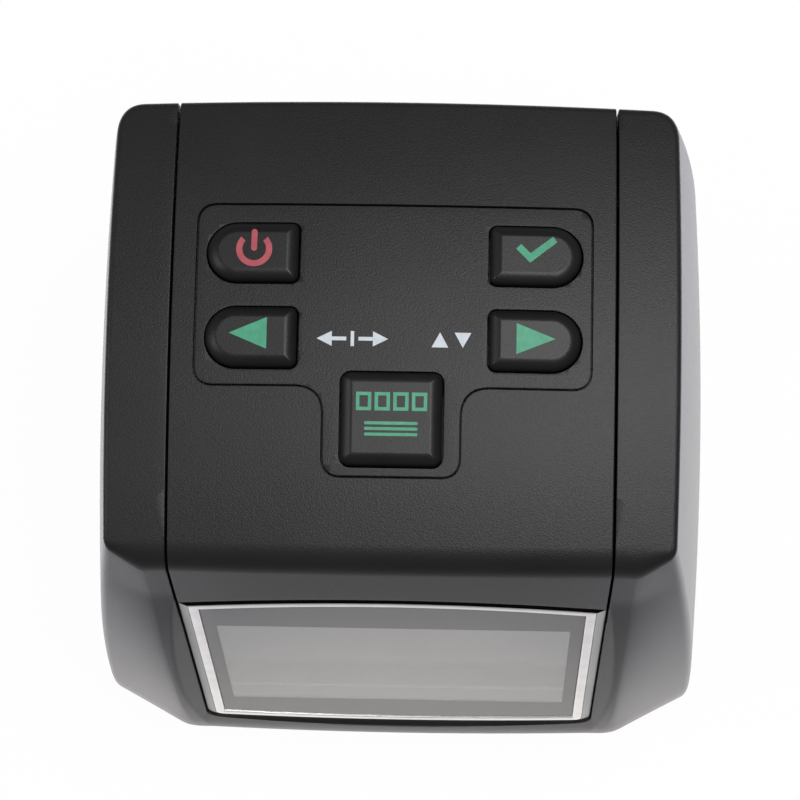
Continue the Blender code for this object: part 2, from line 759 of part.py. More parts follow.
def panel_outline(grow):
    """The T-shaped inlay, anticlockwise from the front of its stem."""
    wide, narrow = PANEL_HALF_WIDTH + grow, PANEL_STEM_HALF_WIDTH + grow
    back, arm, front = PANEL_BACK_Y + grow, PANEL_ARM_Y - grow, PANEL_STEM_Y - grow
    outer, inner = PANEL_CORNER + grow, PANEL_INNER_CORNER - grow
    steps = 2 * CORNER_STEPS
    right = (
        (0, front, 0, 0),
        (narrow, front, outer, steps),
        (narrow, arm, inner, steps),
        (wide, arm, outer, steps),
        (wide, back, outer, steps),
        (0, back, 0, 0),
    )
    points = softened(right)
    return points + [Vector((-point.x, point.y)) for point in reversed(points[1:-1])]


def make_keypad(cover):
    top = BODY_HEIGHT + OVERRUN
    low = BODY_HEIGHT - OVERRUN
    recess = prism("recess", panel_outline(PANEL_GROOVE), low, top, cutters)
    floor = loft("recess_floor", inner_rings(PANEL_THICKNESS + FIT_GAP), cutters, None)
    boolean(recess, floor)
    boolean(cover, recess)
    panel = paint(prism("key_panel", panel_outline(0), low, top, parts), "panel_black", DARK, 0.45)
    skin = loft("skin", outer_rings(), cutters, (0, ARCH_APEX_Y, BODY_HEIGHT))
    underside = loft("underside", inner_rings(PANEL_THICKNESS), cutters, None)
    boolean(panel, skin, "INTERSECT")
    boolean(panel, underside)
    holes = []
    for name, centre, half_x, half_y, radii in key_table():
        hole = rounded_rectangle(centre, half_x, half_y, radii, FIT_GAP)
        holes.append(prism(name + "_hole", hole, low, top, cutters))
        make_key(name, centre, half_x, half_y, radii)
        make_switch(name, centre)
    key_holes = gathered("key_holes", holes)
    boolean(cover, key_holes)
    boolean(panel, key_holes)
    front = SCAN_Y - SCAN_DEPTH / 2
    back = KEY_BACK_Y + KEY_DEPTH / 2 + KEY_FLANGE + 2 * POST_RADIUS + KEY_BOARD_MARGIN / 2
    middle = (0, (front + back) / 2)
    outline = rounded_rectangle(middle, KEY_BOARD_WIDTH / 2, (back - front) / 2, (BOARD_CORNER,) * 4)
    board = prism("key_board", outline, KEY_BOARD_Z - BOARD_THICKNESS, KEY_BOARD_Z, parts)
    paint(board, "key_board_green", BOARD_GREEN, 0.4)


# Display


def bezel_outline(inset, top_inset, drop=0, widen=0):
    """The display's outline in its own plane: arched top, bowed bottom, round lower corners."""
    half = BEZEL_HALF_WIDTH - inset + widen
    low = BEZEL_BOTTOM + inset - drop
    high = BEZEL_TOP - top_inset
    radius = max(BEZEL_CORNER - inset, SMALLEST_RADIUS)
    corners = []
    for share in BEZEL_SHARES:
        corners.append((half * share, low - BEZEL_BOTTOM_BOW * (1 - share**2), 0, 0))
    corners.append((half, low, radius, 2 * CORNER_STEPS))
    for share in (1,) + tuple(reversed(BEZEL_SHARES)):
        x = half * share
        corners.append((x, high + BEZEL_TOP_ARCH * (1 - (x / BEZEL_HALF_WIDTH) ** 2), 0, 0))
    right = softened(corners)
    return right + [Vector((-point.x, point.y)) for point in reversed(right[1:-1])]


def leaned(obj):
    """Turns a piece that was made flat into the display's leaning plane."""
    obj.rotation_euler = (pi / 2 - DISPLAY_LEAN, 0, 0)
    obj.location = (0, DISPLAY_Y, DISPLAY_Z)
    return obj


def make_display():
    outer = bezel_outline(0, 0)
    rim = bezel_outline(BEZEL_RIM, BEZEL_TOP_RIM)
    rings = [level(outer, -BEZEL_THICKNESS), level(outer, -BEZEL_RIM), level(rim, 0)]
    bezel = paint(leaned(loft("display_bezel", rings, parts)), "bezel_grey", (0.05, 0.05, 0.055), 0.35)
    window_half_x = LCD_HALF_WIDTH + FIT_GAP
    window_half_y = LCD_HALF_HEIGHT + FIT_GAP
    opening = rounded_rectangle((0, 0), window_half_x, window_half_y, (BOARD_CORNER,) * 4)
    boolean(bezel, leaned(prism("bezel_opening", opening, -OVERRUN, OVERRUN, cutters)))
    rebate = bezel_outline(BEZEL_RIM, BEZEL_TOP_RIM)
    seat = -TRIM_DEPTH - FIT_GAP
    boolean(bezel, leaned(prism("bezel_rebate", rebate, seat, OVERRUN, cutters)))

    outside = BEZEL_RIM + FIT_GAP / 2
    inside = outside + TRIM_WIDTH
    top_gap = BEZEL_TOP_RIM + FIT_GAP / 2
    trim_outer = bezel_outline(outside, top_gap)
    trim_inner = bezel_outline(inside, top_gap + TRIM_WIDTH)
    rings = [
        level(trim_outer, -TRIM_DEPTH),
        level(bezel_outline(outside, top_gap), 0),
        level(bezel_outline(outside + TRIM_PROUD, top_gap + TRIM_PROUD), TRIM_PROUD),
        level(bezel_outline(inside - TRIM_PROUD, top_gap + TRIM_WIDTH - TRIM_PROUD), TRIM_PROUD),
        level(bezel_outline(inside, top_gap + TRIM_WIDTH), 0),
        level(trim_inner, -TRIM_DEPTH),
    ]
    trim = leaned(loft("display_trim", rings, parts, looped=True))
    paint(trim, "trim_silver", (0.6, 0.6, 0.58), 0.3, 1)

    pane = bezel_outline(inside + FIT_GAP, top_gap + TRIM_WIDTH + FIT_GAP)
    window = leaned(prism("display_window", pane, -WINDOW_SINK - WINDOW_THICKNESS, -WINDOW_SINK, parts))
    paint(window, "window_clear", (0.7, 0.7, 0.7), 0.05, 0, 0.35)

    lcd_top = -WINDOW_SINK - WINDOW_THICKNESS - FIT_GAP
    panel = rounded_rectangle((0, 0), LCD_HALF_WIDTH, LCD_HALF_HEIGHT, (BOARD_CORNER,) * 4)
    lcd = leaned(prism("lcd_panel", panel, -BEZEL_THICKNESS, lcd_top, parts))
    paint(lcd, "lcd_grey", (0.35, 0.36, 0.35), 0.3)
    back = rounded_rectangle(
        (0, 0),
        LCD_HALF_WIDTH + BACKLIGHT_MARGIN,
        LCD_HALF_HEIGHT + BACKLIGHT_MARGIN,
        (BOARD_CORNER,) * 4,
    )
    high = -BEZEL_THICKNESS - FIT_GAP
    light = leaned(prism("lcd_backlight", back, high - BACKLIGHT_THICKNESS, high, parts))
    paint(light, "backlight_frame", (0.75, 0.75, 0.75), 0.4)


# Light, film path and camera


def make_film_path():
    low_top = SLOT_Z - SLOT_HEIGHT / 2 - FIT_GAP
    high_low = SLOT_Z + SLOT_HEIGHT / 2 + FIT_GAP
    half_y = SLOT_DEPTH / 2 + FIT_GAP + RAIL_WIDTH
    gate = rounded_rectangle((0, SLOT_Y), GATE_HALF_WIDTH, GATE_HALF_DEPTH, (SLOT_CORNER,) * 4)
    plate = rounded_rectangle((0, SLOT_Y), GUIDE_HALF_WIDTH, half_y, (SLOT_CORNER,) * 4)
    gate_cut = prism("gate", gate, low_top - OVERRUN / 2, high_low + OVERRUN / 2, cutters)
    lower = prism("lower_film_guide", plate, low_top - GUIDE_THICKNESS, low_top, parts)
    paint(lower, "lower_guide_black", DARK, 0.5)
    boolean(lower, gate_cut)
    for name, sign in (("front", -1), ("back", 1)):
        near = SLOT_Y + sign * (half_y - RAIL_WIDTH)
        far = SLOT_Y + sign * (half_y - FIT_GAP / 2)
        bottom = low_top - GUIDE_THICKNESS / 2
        start = (-GUIDE_HALF_WIDTH + SLOT_CORNER, min(near, far), bottom)
        end = (GUIDE_HALF_WIDTH - SLOT_CORNER, max(near, far), high_low - FIT_GAP)
        boolean(lower, box(name + "_rail", start, end, cutters), "UNION")
    upper = prism("upper_film_guide", plate, high_low, high_low + GUIDE_THICKNESS, parts)
    paint(upper, "upper_guide_black", DARK, 0.5)
    boolean(upper, gate_cut)
    make_light(low_top - GUIDE_THICKNESS)
    make_camera(high_low + GUIDE_THICKNESS + FIT_GAP)


def make_light(guide_bottom):
    half_x, half_y = LIGHT_BOX_WIDTH / 2, LIGHT_BOX_DEPTH / 2
    outline = rounded_rectangle((0, SLOT_Y), half_x, half_y, (SLOT_CORNER,) * 4)
    inside = rounded_rectangle((0, SLOT_Y), half_x, half_y, (SLOT_CORNER,) * 4, -LIGHT_BOX_WALL)
    diffuser_top = guide_bottom - FIT_GAP
    diffuser_low = diffuser_top - DIFFUSER_THICKNESS
    diffuser = prism("diffuser", outline, diffuser_low, diffuser_top, parts)
    paint(diffuser, "diffuser_white", (0.9, 0.9, 0.9), 0.6)
    low = BASE_TOP_Z + FIT_GAP
    tray = prism("light_box", outline, low, diffuser_low - FIT_GAP, parts)
    paint(tray, "light_box_white", (0.85, 0.85, 0.85), 0.5)
    floor = low + LIGHT_BOX_WALL
    boolean(tray, prism("light_well", inside, floor, guide_bottom, cutters))
    board_low = floor + FIT_GAP
    board_outline = rounded_rectangle(
        (0, SLOT_Y), half_x, half_y, (SLOT_CORNER,) * 4, -LIGHT_BOX_WALL - FIT_GAP
    )
    board = prism("led_board", board_outline, board_low, board_low + BOARD_THICKNESS, parts)
    paint(board, "led_board_white", (0.8, 0.8, 0.8), 0.5)
    led_low = board_low + BOARD_THICKNESS + FIT_GAP
    half = LED_SIZE / 2
    led_outline = rounded_rectangle((0, SLOT_Y), half, half, (SWITCH_CORNER,) * 4)
    led = prism("backlight_led", led_outline, led_low, led_low + LED_HEIGHT, parts)
    paint(led, "led_yellow", (0.9, 0.8, 0.3), 0.3)


def make_camera(low):
    high = low + HOLDER_HEIGHT
    collar = high - BARREL_SEAT * 2
    centre = (0, SLOT_Y)
    holder = pyramid("lens_holder", HOLDER_FOOT_HALF, HOLDER_TOP_HALF, centre, low, high, parts)
    paint(holder, "holder_black", DARK, 0.6)
    slope = (HOLDER_FOOT_HALF - HOLDER_TOP_HALF) / HOLDER_HEIGHT
    inner_foot = HOLDER_FOOT_HALF - HOLDER_WALL + slope * FIT_GAP
    inner_top = HOLDER_TOP_HALF - HOLDER_WALL + slope * (high - collar)
    hollow = pyramid("holder_hollow", inner_foot, inner_top, centre, low - FIT_GAP, collar, cutters)
    boolean(holder, hollow)
    barrel_hole = BARREL_RADIUS + FIT_GAP
    start, end = (0, SLOT_Y, collar - OVERRUN / 2), (0, SLOT_Y, high + OVERRUN)
    boolean(holder, cylinder("barrel_hole", barrel_hole, start, end, cutters))

    seat = high + FIT_GAP
    flange = BARREL_RADIUS + BARREL_SEAT
    flange_top = seat + BARREL_SEAT
    bottom = flange_top - BARREL_LENGTH
    profile = (
        (BARREL_BORE, 0),
        (flange, 0),
        (flange, -BARREL_SEAT),
        (BARREL_RADIUS, -BARREL_SEAT),
        (BARREL_RADIUS, -BARREL_LENGTH),
        (BARREL_BORE, -BARREL_LENGTH),
    )
    barrel = turned("lens_barrel", profile, (0, SLOT_Y, flange_top), parts)
    paint(barrel, "barrel_black", DARK, 0.4, 0.5)
    lens_radius = BARREL_BORE - FIT_GAP
    for name, z in (("front_lens", bottom + BARREL_SEAT * 2), ("rear_lens", bottom + BARREL_LENGTH / 2)):
        lens = turned(name, lens_profile(lens_radius), (0, SLOT_Y, z), parts)
        paint(lens, name + "_glass", (0.8, 0.85, 0.9), 0.02, 0, 0.35)

    board_low = flange_top + FIT_GAP
    board_outline = rounded_rectangle((0, SLOT_Y), SENSOR_BOARD_HALF, SENSOR_BOARD_HALF, (BOARD_CORNER,) * 4)
    board = prism("sensor_board", board_outline, board_low, board_low + BOARD_THICKNESS, parts)
    paint(board, "sensor_board_green", BOARD_GREEN, 0.4)
    sensor_top = board_low - FIT_GAP
    start = (-SENSOR_HALF, SLOT_Y - SENSOR_HALF, sensor_top - SENSOR_HEIGHT)
    sensor = box("image_sensor", start, (SENSOR_HALF, SLOT_Y + SENSOR_HALF, sensor_top), parts)
    paint(sensor, "sensor_dark", (0.02, 0.03, 0.05), 0.1)


def lens_profile(radius):
    """A lens with two bulging faces, from its top middle over the edge to its bottom middle."""
    upper = []
    for step in range(LENS_STEPS + 1):
        share = step / LENS_STEPS
        upper.append((radius * share, LENS_EDGE / 2 + LENS_BULGE * (1 - share**2)))
    lower = [(x, -z) for x, z in reversed(upper)]
    return tuple(upper + lower)


# Main board and sockets


def make_electronics(cover):
    half = MAIN_BOARD_WIDTH / 2
    board = box(
        "main_board",
        (-half, MAIN_BOARD_Y, MAIN_BOARD_LOW_Z),
        (half, MAIN_BOARD_Y + BOARD_THICKNESS, MAIN_BOARD_HIGH_Z),
        parts,
    )
    paint(board, "main_board_green", BOARD_GREEN, 0.4)
    start = MAIN_BOARD_Y + BOARD_THICKNESS + FIT_GAP
    sockets = (
        ("usb_socket", USB_X, SOCKET_Z, USB_WIDTH, USB_HEIGHT, USB_HEIGHT - 2 * SOCKET_WALL),
        ("card_socket", 0, CARD_Z, CARD_WIDTH, CARD_HEIGHT, CARD_SLOT_HEIGHT),
    )
    holes = []
    for name, x, z, width, height, cavity_height in sockets:
        mouth = back_y(z + height / 2) - BACK_BOW - FIT_GAP
        low = (x - width / 2, start, z - height / 2)
        high = (x + width / 2, mouth, z + height / 2)
        socket = paint(box(name, low, high, parts), name + "_metal", (0.6, 0.6, 0.6), 0.3, 1)
        inner = width / 2 - SOCKET_WALL
        deep = (x - inner, mouth - SOCKET_CAVITY, z - cavity_height / 2)
        out = (x + inner, mouth + OVERRUN, z + cavity_height / 2)
        boolean(socket, box(name + "_cavity", deep, out, cutters))
        near = (low[0] - FIT_GAP, start, low[2] - FIT_GAP)
        past = (high[0] + FIT_GAP, mouth + OVERRUN, high[2] + FIT_GAP)
        holes.append(box(name + "_hole", near, past, cutters))
    mouth = back_y(SOCKET_Z + JACK_RADIUS) - BACK_BOW - FIT_GAP
    jack = cylinder("av_jack", JACK_RADIUS, (JACK_X, start, SOCKET_Z), (JACK_X, mouth, SOCKET_Z), parts, "Y")
    paint(jack, "jack_black", DARK, 0.4)
    deep = (JACK_X, mouth - SOCKET_CAVITY, SOCKET_Z)
    boolean(jack, cylinder("jack_bore", JACK_BORE, deep, (JACK_X, mouth + OVERRUN, SOCKET_Z), cutters, "Y"))
    past = (JACK_X, mouth + OVERRUN, SOCKET_Z)
    holes.append(cylinder("jack_hole", JACK_RADIUS + FIT_GAP, (JACK_X, start, SOCKET_Z), past, cutters, "Y"))
    boolean(cover, gathered("back_holes", holes))


# Base


def make_base():
    outline = body_outline(FOOT_HEIGHT, WALL + FIT_GAP)
    plate = prism("base_plate", outline, FOOT_HEIGHT, BASE_TOP_Z, parts)
    paint(plate, "base_black", DARK, 0.5)
    feet = {
        "front_left": (-FOOT_X, FOOT_FRONT_Y),
        "front_right": (FOOT_X, FOOT_FRONT_Y),
        "back_left": (-FOOT_X, FOOT_BACK_Y),
        "back_right": (FOOT_X, FOOT_BACK_Y),
    }
    pocket_top = FOOT_HEIGHT + FOOT_RECESS
    holes = []
    for name, (x, y) in feet.items():
        pocket = FOOT_RADIUS + FIT_GAP
        holes.append(cylinder("pocket", pocket, (x, y, -OVERRUN), (x, y, pocket_top), cutters))
        height = pocket_top - FIT_GAP
        profile = (
            (0, height),
            (FOOT_RADIUS, height),
            (FOOT_RADIUS, FOOT_EDGE),
            (FOOT_RADIUS - FOOT_EDGE, 0),
            (0, 0),
        )
        paint(turned("foot_" + name, profile, (x, y, 0), parts), "rubber_" + name, (0.03, 0.03, 0.03), 0.9)
    heads, shanks = [], []
    for name, (x, y) in screw_places().items():
        seat = FOOT_HEIGHT + SCREW_SINK
        wide, narrow = SCREW_RADIUS + FIT_GAP, SCREW_SHANK_RADIUS + FIT_GAP
        heads.append(cylinder("head", wide, (x, y, -OVERRUN), (x, y, seat + SCREW_HEAD), cutters))
        shanks.append(cylinder("shank", narrow, (x, y, -OVERRUN), (x, y, OVERRUN), cutters))
        top = SCREW_HEAD - FIT_GAP
        profile = (
            (0, top + SCREW_SHANK_LENGTH),
            (SCREW_SHANK_RADIUS, top + SCREW_SHANK_LENGTH),
            (SCREW_SHANK_RADIUS, top),
            (SCREW_RADIUS, top),
            (SCREW_RADIUS, 0),
            (0, 0),
        )
        screw = turned("base_screw_" + name, profile, (x, y, seat), parts)
        paint(screw, "steel_" + name, (0.5, 0.5, 0.5), 0.3, 1)
    boolean(plate, gathered("pockets", holes + heads))
    boolean(plate, gathered("shanks", shanks))


for old in list(bpy.data.objects):
    bpy.data.objects.remove(old)
parts = new_collection("film_negative_scanner")
cutters = new_collection("cutters")

cover = make_casings()
make_electronics(cover)
make_keypad(cover)
make_display()
make_film_path()
make_base()
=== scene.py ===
from math import atan2, cos, pi, radians, sin, tan

import bmesh
import bpy
from mathutils import Matrix, Vector


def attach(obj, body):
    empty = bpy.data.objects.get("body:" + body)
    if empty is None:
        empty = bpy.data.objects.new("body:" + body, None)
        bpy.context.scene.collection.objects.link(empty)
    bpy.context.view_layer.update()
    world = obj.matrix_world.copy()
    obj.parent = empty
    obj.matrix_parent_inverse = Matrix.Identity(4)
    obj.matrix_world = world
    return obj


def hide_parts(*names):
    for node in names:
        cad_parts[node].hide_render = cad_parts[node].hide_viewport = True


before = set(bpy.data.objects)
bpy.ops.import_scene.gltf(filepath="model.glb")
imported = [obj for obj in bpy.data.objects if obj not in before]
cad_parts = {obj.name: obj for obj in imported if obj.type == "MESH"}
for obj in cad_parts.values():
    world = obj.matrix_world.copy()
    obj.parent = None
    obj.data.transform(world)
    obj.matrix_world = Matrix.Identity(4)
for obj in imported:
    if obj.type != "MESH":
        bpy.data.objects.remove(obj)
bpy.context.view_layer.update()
print("frame loaded:", len(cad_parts), "nodes")


# small helpers for working by hand

def pickNothing():
    if bpy.context.mode != "OBJECT":
        bpy.ops.object.mode_set(mode="OBJECT")
    bpy.ops.object.select_all(action="DESELECT")


def takeUp(piece):
    pickNothing()
    piece.select_set(True)
    bpy.context.view_layer.objects.active = piece


def settle(piece):
    # place, turn and size go into the mesh, so the object sits at the origin
    takeUp(piece)
    bpy.ops.object.transform_apply(location=True, rotation=True, scale=True)


def freshPiece(name, points, faces):
    mesh = bpy.data.meshes.new(name)
    mesh.from_pydata(points, [], faces)
    mesh.validate()
    piece = bpy.data.objects.new(name, mesh)
    bpy.context.scene.collection.objects.link(piece)
    return piece


def applyModifiers(piece):
    takeUp(piece)
    for modifier in list(piece.modifiers):
        bpy.ops.object.modifier_apply(modifier=modifier.name)


def combine(piece, tool, operation="DIFFERENCE"):
    modifier = piece.modifiers.new("combine", "BOOLEAN")
    modifier.operation = operation
    modifier.solver = "EXACT"
    modifier.object = tool
    applyModifiers(piece)
    bpy.data.objects.remove(tool)


def joined(name, pieces):
    pickNothing()
    for piece in pieces:
        piece.select_set(True)
    bpy.context.view_layer.objects.active = pieces[0]
    if len(pieces) > 1:
        bpy.ops.object.join()
    pieces[0].name = name
    return pieces[0]


def rightWayOut(piece):
    takeUp(piece)
    bpy.ops.object.mode_set(mode="EDIT")
    bpy.ops.mesh.select_all(action="SELECT")
    bpy.ops.mesh.remove_doubles(threshold=0.000002)
    bpy.ops.mesh.normals_make_consistent(inside=False)
    bpy.ops.object.mode_set(mode="OBJECT")


def smoothed(piece, angle=32):
    takeUp(piece)
    bpy.ops.object.shade_smooth_by_angle(angle=radians(angle))
    even = piece.modifiers.new("evenNormals", "WEIGHTED_NORMAL")
    even.keep_sharp = True
    applyModifiers(piece)


def bevelWhere(piece, test, width, steps=2, profile=0.5):
    # rounds the sharp edges that the test picks by their ends and their two faces
    takeUp(piece)
    bpy.ops.object.mode_set(mode="EDIT")
    bpy.ops.mesh.select_mode(type="EDGE")
    bpy.ops.mesh.select_all(action="DESELECT")
    bm = bmesh.from_edit_mesh(piece.data)
    found = 0
    for edge in bm.edges:
        if len(edge.link_faces) == 2 and edge.calc_face_angle(0) > radians(20) and test(edge):
            edge.select = True
            found += 1
    bmesh.update_edit_mesh(piece.data)
    if found:
        bpy.ops.mesh.bevel(offset=width, segments=steps, profile=profile, affect="EDGES", clamp_overlap=False)
    bpy.ops.object.mode_set(mode="OBJECT")
    return found


def wholeLoft(name, rings, pole=None, looped=False):
    count = len(rings[0])
    points = [tuple(point) for ring in rings for point in ring]
    faces = []
    for row in range(len(rings) if looped else len(rings) - 1):
        low, high = row * count, ((row + 1) % len(rings)) * count
        for index in range(count):
            after = (index + 1) % count
            faces.append((low + index, low + after, high + after, high + index))
    if not looped:
        faces.append(tuple(reversed(range(count))))
        last = (len(rings) - 1) * count
        if pole is None:
            faces.append(tuple(last + index for index in range(count)))
        else:
            points.append(tuple(pole))
            tip = len(points) - 1
            faces += [(last + index, last + (index + 1) % count, tip) for index in range(count)]
    return freshPiece(name, points, faces)


def flatPrism(name, outline, low, high):
    rings = [[(point[0], point[1], z) for point in outline] for z in (low, high)]
    piece = wholeLoft(name, rings)
    rightWayOut(piece)
    return piece


def softenedOutline(corners):
    # corners are (x, y, cut-back, steps, cut-back after it if different); each is rounded over its cut-backs
    points = []
    for index, (x, y, cut, steps, *rest) in enumerate(corners):
        here = Vector((x, y))
        if cut == 0:
            points.append(here)
            continue
        before = Vector(corners[index - 1][:2]) - here
        after = Vector(corners[(index + 1) % len(corners)][:2]) - here
        start = here + before.normalized() * cut
        end = here + after.normalized() * (rest[0] if rest else cut)
        for step in range(steps + 1):
            t = step / steps
            points.append(start * (1 - t) ** 2 + here * 2 * t * (1 - t) + end * t**2)
    return points


# the body's form, in metres

form = dict(
    halfWidth=0.04647, halfDepth=0.0432, backDepth=0.0431, height=0.1010, widestZ=0.0120, baseDraft=0.0006,
    topEdgeZ=0.0980, topHalfWidth=0.0381, topBackY=0.0368, apexY=0.0059,
    archRadius=0.1230, crownRadius=0.4250, leanPower=1.5, wall=0.0024,
    sideBow=0.0016, sideBowY=0.0050,
    seamGap=0.0003, fit=0.0003, frontBow=0.0005, backBow=0.0006,
    bulge=0.0020, bulgeTopZ=0.0820, seamX=0.02945, ramp=0.0022,
    chamferX=0.0332, chamferLow=0.0064, chamferTop=0.0022, chamferZ=0.0160,
    backCorner=0.0042, soft=0.0007, chinSoft=0.0013, longSoft=0.4, outerSoft=0.0013,
    frontFillet=0.0031, sideFillet=0.0008,
    footZ=0.0012, bottomEdge=0.0006, chinTopZ=0.0160, chinDraft=0.0012, chinBlend=0.0040,
)
screen = dict(
    lean=radians(12), z=0.0495, halfWidth=0.02925, top=0.0291, topArch=0.0026,
    bottom=-0.0280, bottomBow=0.0017, corner=0.0025, thickness=0.0034,
    rim=0.0012, topRim=0.0003, trimGap=0.00003, grow=0.00012, trimWidth=0.00135, trimProud=0.00012, trimDepth=0.0014,
    glassSink=0.00012, glassThickness=0.0010, glassGap=0.00005, clearX=0.0248, clearY=0.0187,
    lcdX=0.0250, lcdY=0.0189,
)
screen["y"] = form["frontBow"] - form["halfDepth"] + (screen["z"] - form["chinTopZ"]) * tan(screen["lean"])


def held(value, low, high):
    return max(low, min(value, high))


def wallAt(z, widest, top):
    # how far out a wall stands at one height
    rise = max((z - form["widestZ"]) / (form["topEdgeZ"] - form["widestZ"]), 0) ** form["leanPower"]
    fall = held((form["widestZ"] - z) / form["widestZ"], 0, 1) ** 2
    return widest - (widest - top) * rise - form["baseDraft"] * fall


def sideX(z):
    return wallAt(z, form["halfWidth"], form["topHalfWidth"])


def backY(z):
    return wallAt(z, form["backDepth"], form["topBackY"])


def sideBow(y):
    return form["sideBow"] * ((y - form["sideBowY"]) / form["halfDepth"]) ** 2


def frontY(z):
    # leans above the chin and stands upright below it, with a soft turn between
    slope = tan(screen["lean"])
    foot = screen["y"] + (form["chinTopZ"] - screen["z"]) * slope
    above = z - form["chinTopZ"]
    blend = form["chinBlend"]
    if above > blend:
        return foot + above * slope
    below = held((form["chinTopZ"] - z) / form["chinTopZ"], 0, 1)
    turn = slope * (above + blend) ** 2 / (4 * blend) if above > -blend else 0
    return foot + turn + form["chinDraft"] * below**2


def bulgeAt(z):
    share = (form["bulgeTopZ"] - z) / (form["bulgeTopZ"] - form["chinTopZ"])
    return form["bulge"] * sin(pi * share) if 0 < share < 1 else 0


def archZ(x, y, inset=0):
    return (
        form["height"] - inset
        - x**2 / (2 * form["crownRadius"])
        - (y - form["apexY"]) ** 2 / (2 * form["archRadius"])
    )


def bodyOutline(z, inset, fine):
    # the body seen from above at one height, anticlockwise from the middle of the front
    outer = sideX(z)
    side = outer - inset
    back = backY(z) - inset
    front = frontY(z) + inset
    proud = 0 if inset else bulgeAt(z)
    rise = held((z - form["chamferZ"]) / (form["topEdgeZ"] - form["chamferZ"]), 0, 1)
    depth = form["chamferLow"] - (form["chamferLow"] - form["chamferTop"]) * rise
    slope = depth / (outer - form["chamferX"])
    chamferX = form["chamferX"] - inset * tan(atan2(depth, outer - form["chamferX"]) / 2)
    soft = form["soft"] / 2 if inset else form["soft"]
    corners = []
    for share in [step / (2 * fine) for step in range(2 * fine + 1)]:
        corners.append((form["seamX"] * share, front - form["frontBow"] * (1 - share**2), 0, 0))
    full = bulgeAt(z) / form["bulge"]
    ramp = form["ramp"] * (0.2 + 0.8 * full)
    rampSoft = soft * (0.3 + 0.7 * full) * 0.8
    chamferSoft = soft + (0 if inset else form["chinSoft"] * held((0.030 - z) / 0.016, 0, 1))
    corners.append((form["seamX"] + ramp, front - proud, rampSoft, 2 * fine))
    farY = front + slope * (side - chamferX)
    outerSoft = form["outerSoft"] / 2 if inset else form["outerSoft"]
    leg = Vector((side - chamferX, farY - front + proud)).length
    # above the chin the turn runs out softly over the casing beside the display
    longSoft = chamferSoft + (form["longSoft"] * leg - chamferSoft) * held((z - 0.012) / 0.02, 0, 1)
    corners.append((chamferX, front - proud, chamferSoft, 3 * fine, longSoft))
    for step in range(1, 2 * fine):
        share = (longSoft + (leg - outerSoft - longSoft) * step / (2 * fine)) / leg
        x = chamferX + (side - chamferX) * share
        corners.append((x, front - proud + (farY - front + proud) * share, 0, 0))
    corners.append((side, farY, outerSoft, 3 * fine))
    cornerY = back - form["backBow"] - form["backCorner"] + inset
    for share in [step / (6 * fine) for step in range(1, 6 * fine)]:
        corners.append((side, farY + (cornerY - farY) * share, 0, 0))
    corners.append((side, back - form["backBow"], form["backCorner"] - inset, 4 * fine))
    for share in [0.7 - step / (2 * fine) * 0.7 for step in range(2 * fine + 1)]:
        corners.append((side * share, back - form["backBow"] * share**2, 0, 0))
    right = softenedOutline(corners)
    for point in right:
        share = held((point.x - form["chamferX"]) / (outer - form["chamferX"]), 0, 1)
        point.x -= share * sideBow(point.y)
    left = [Vector((-point.x, point.y)) for point in reversed(right[1:-1])]
    return right + left


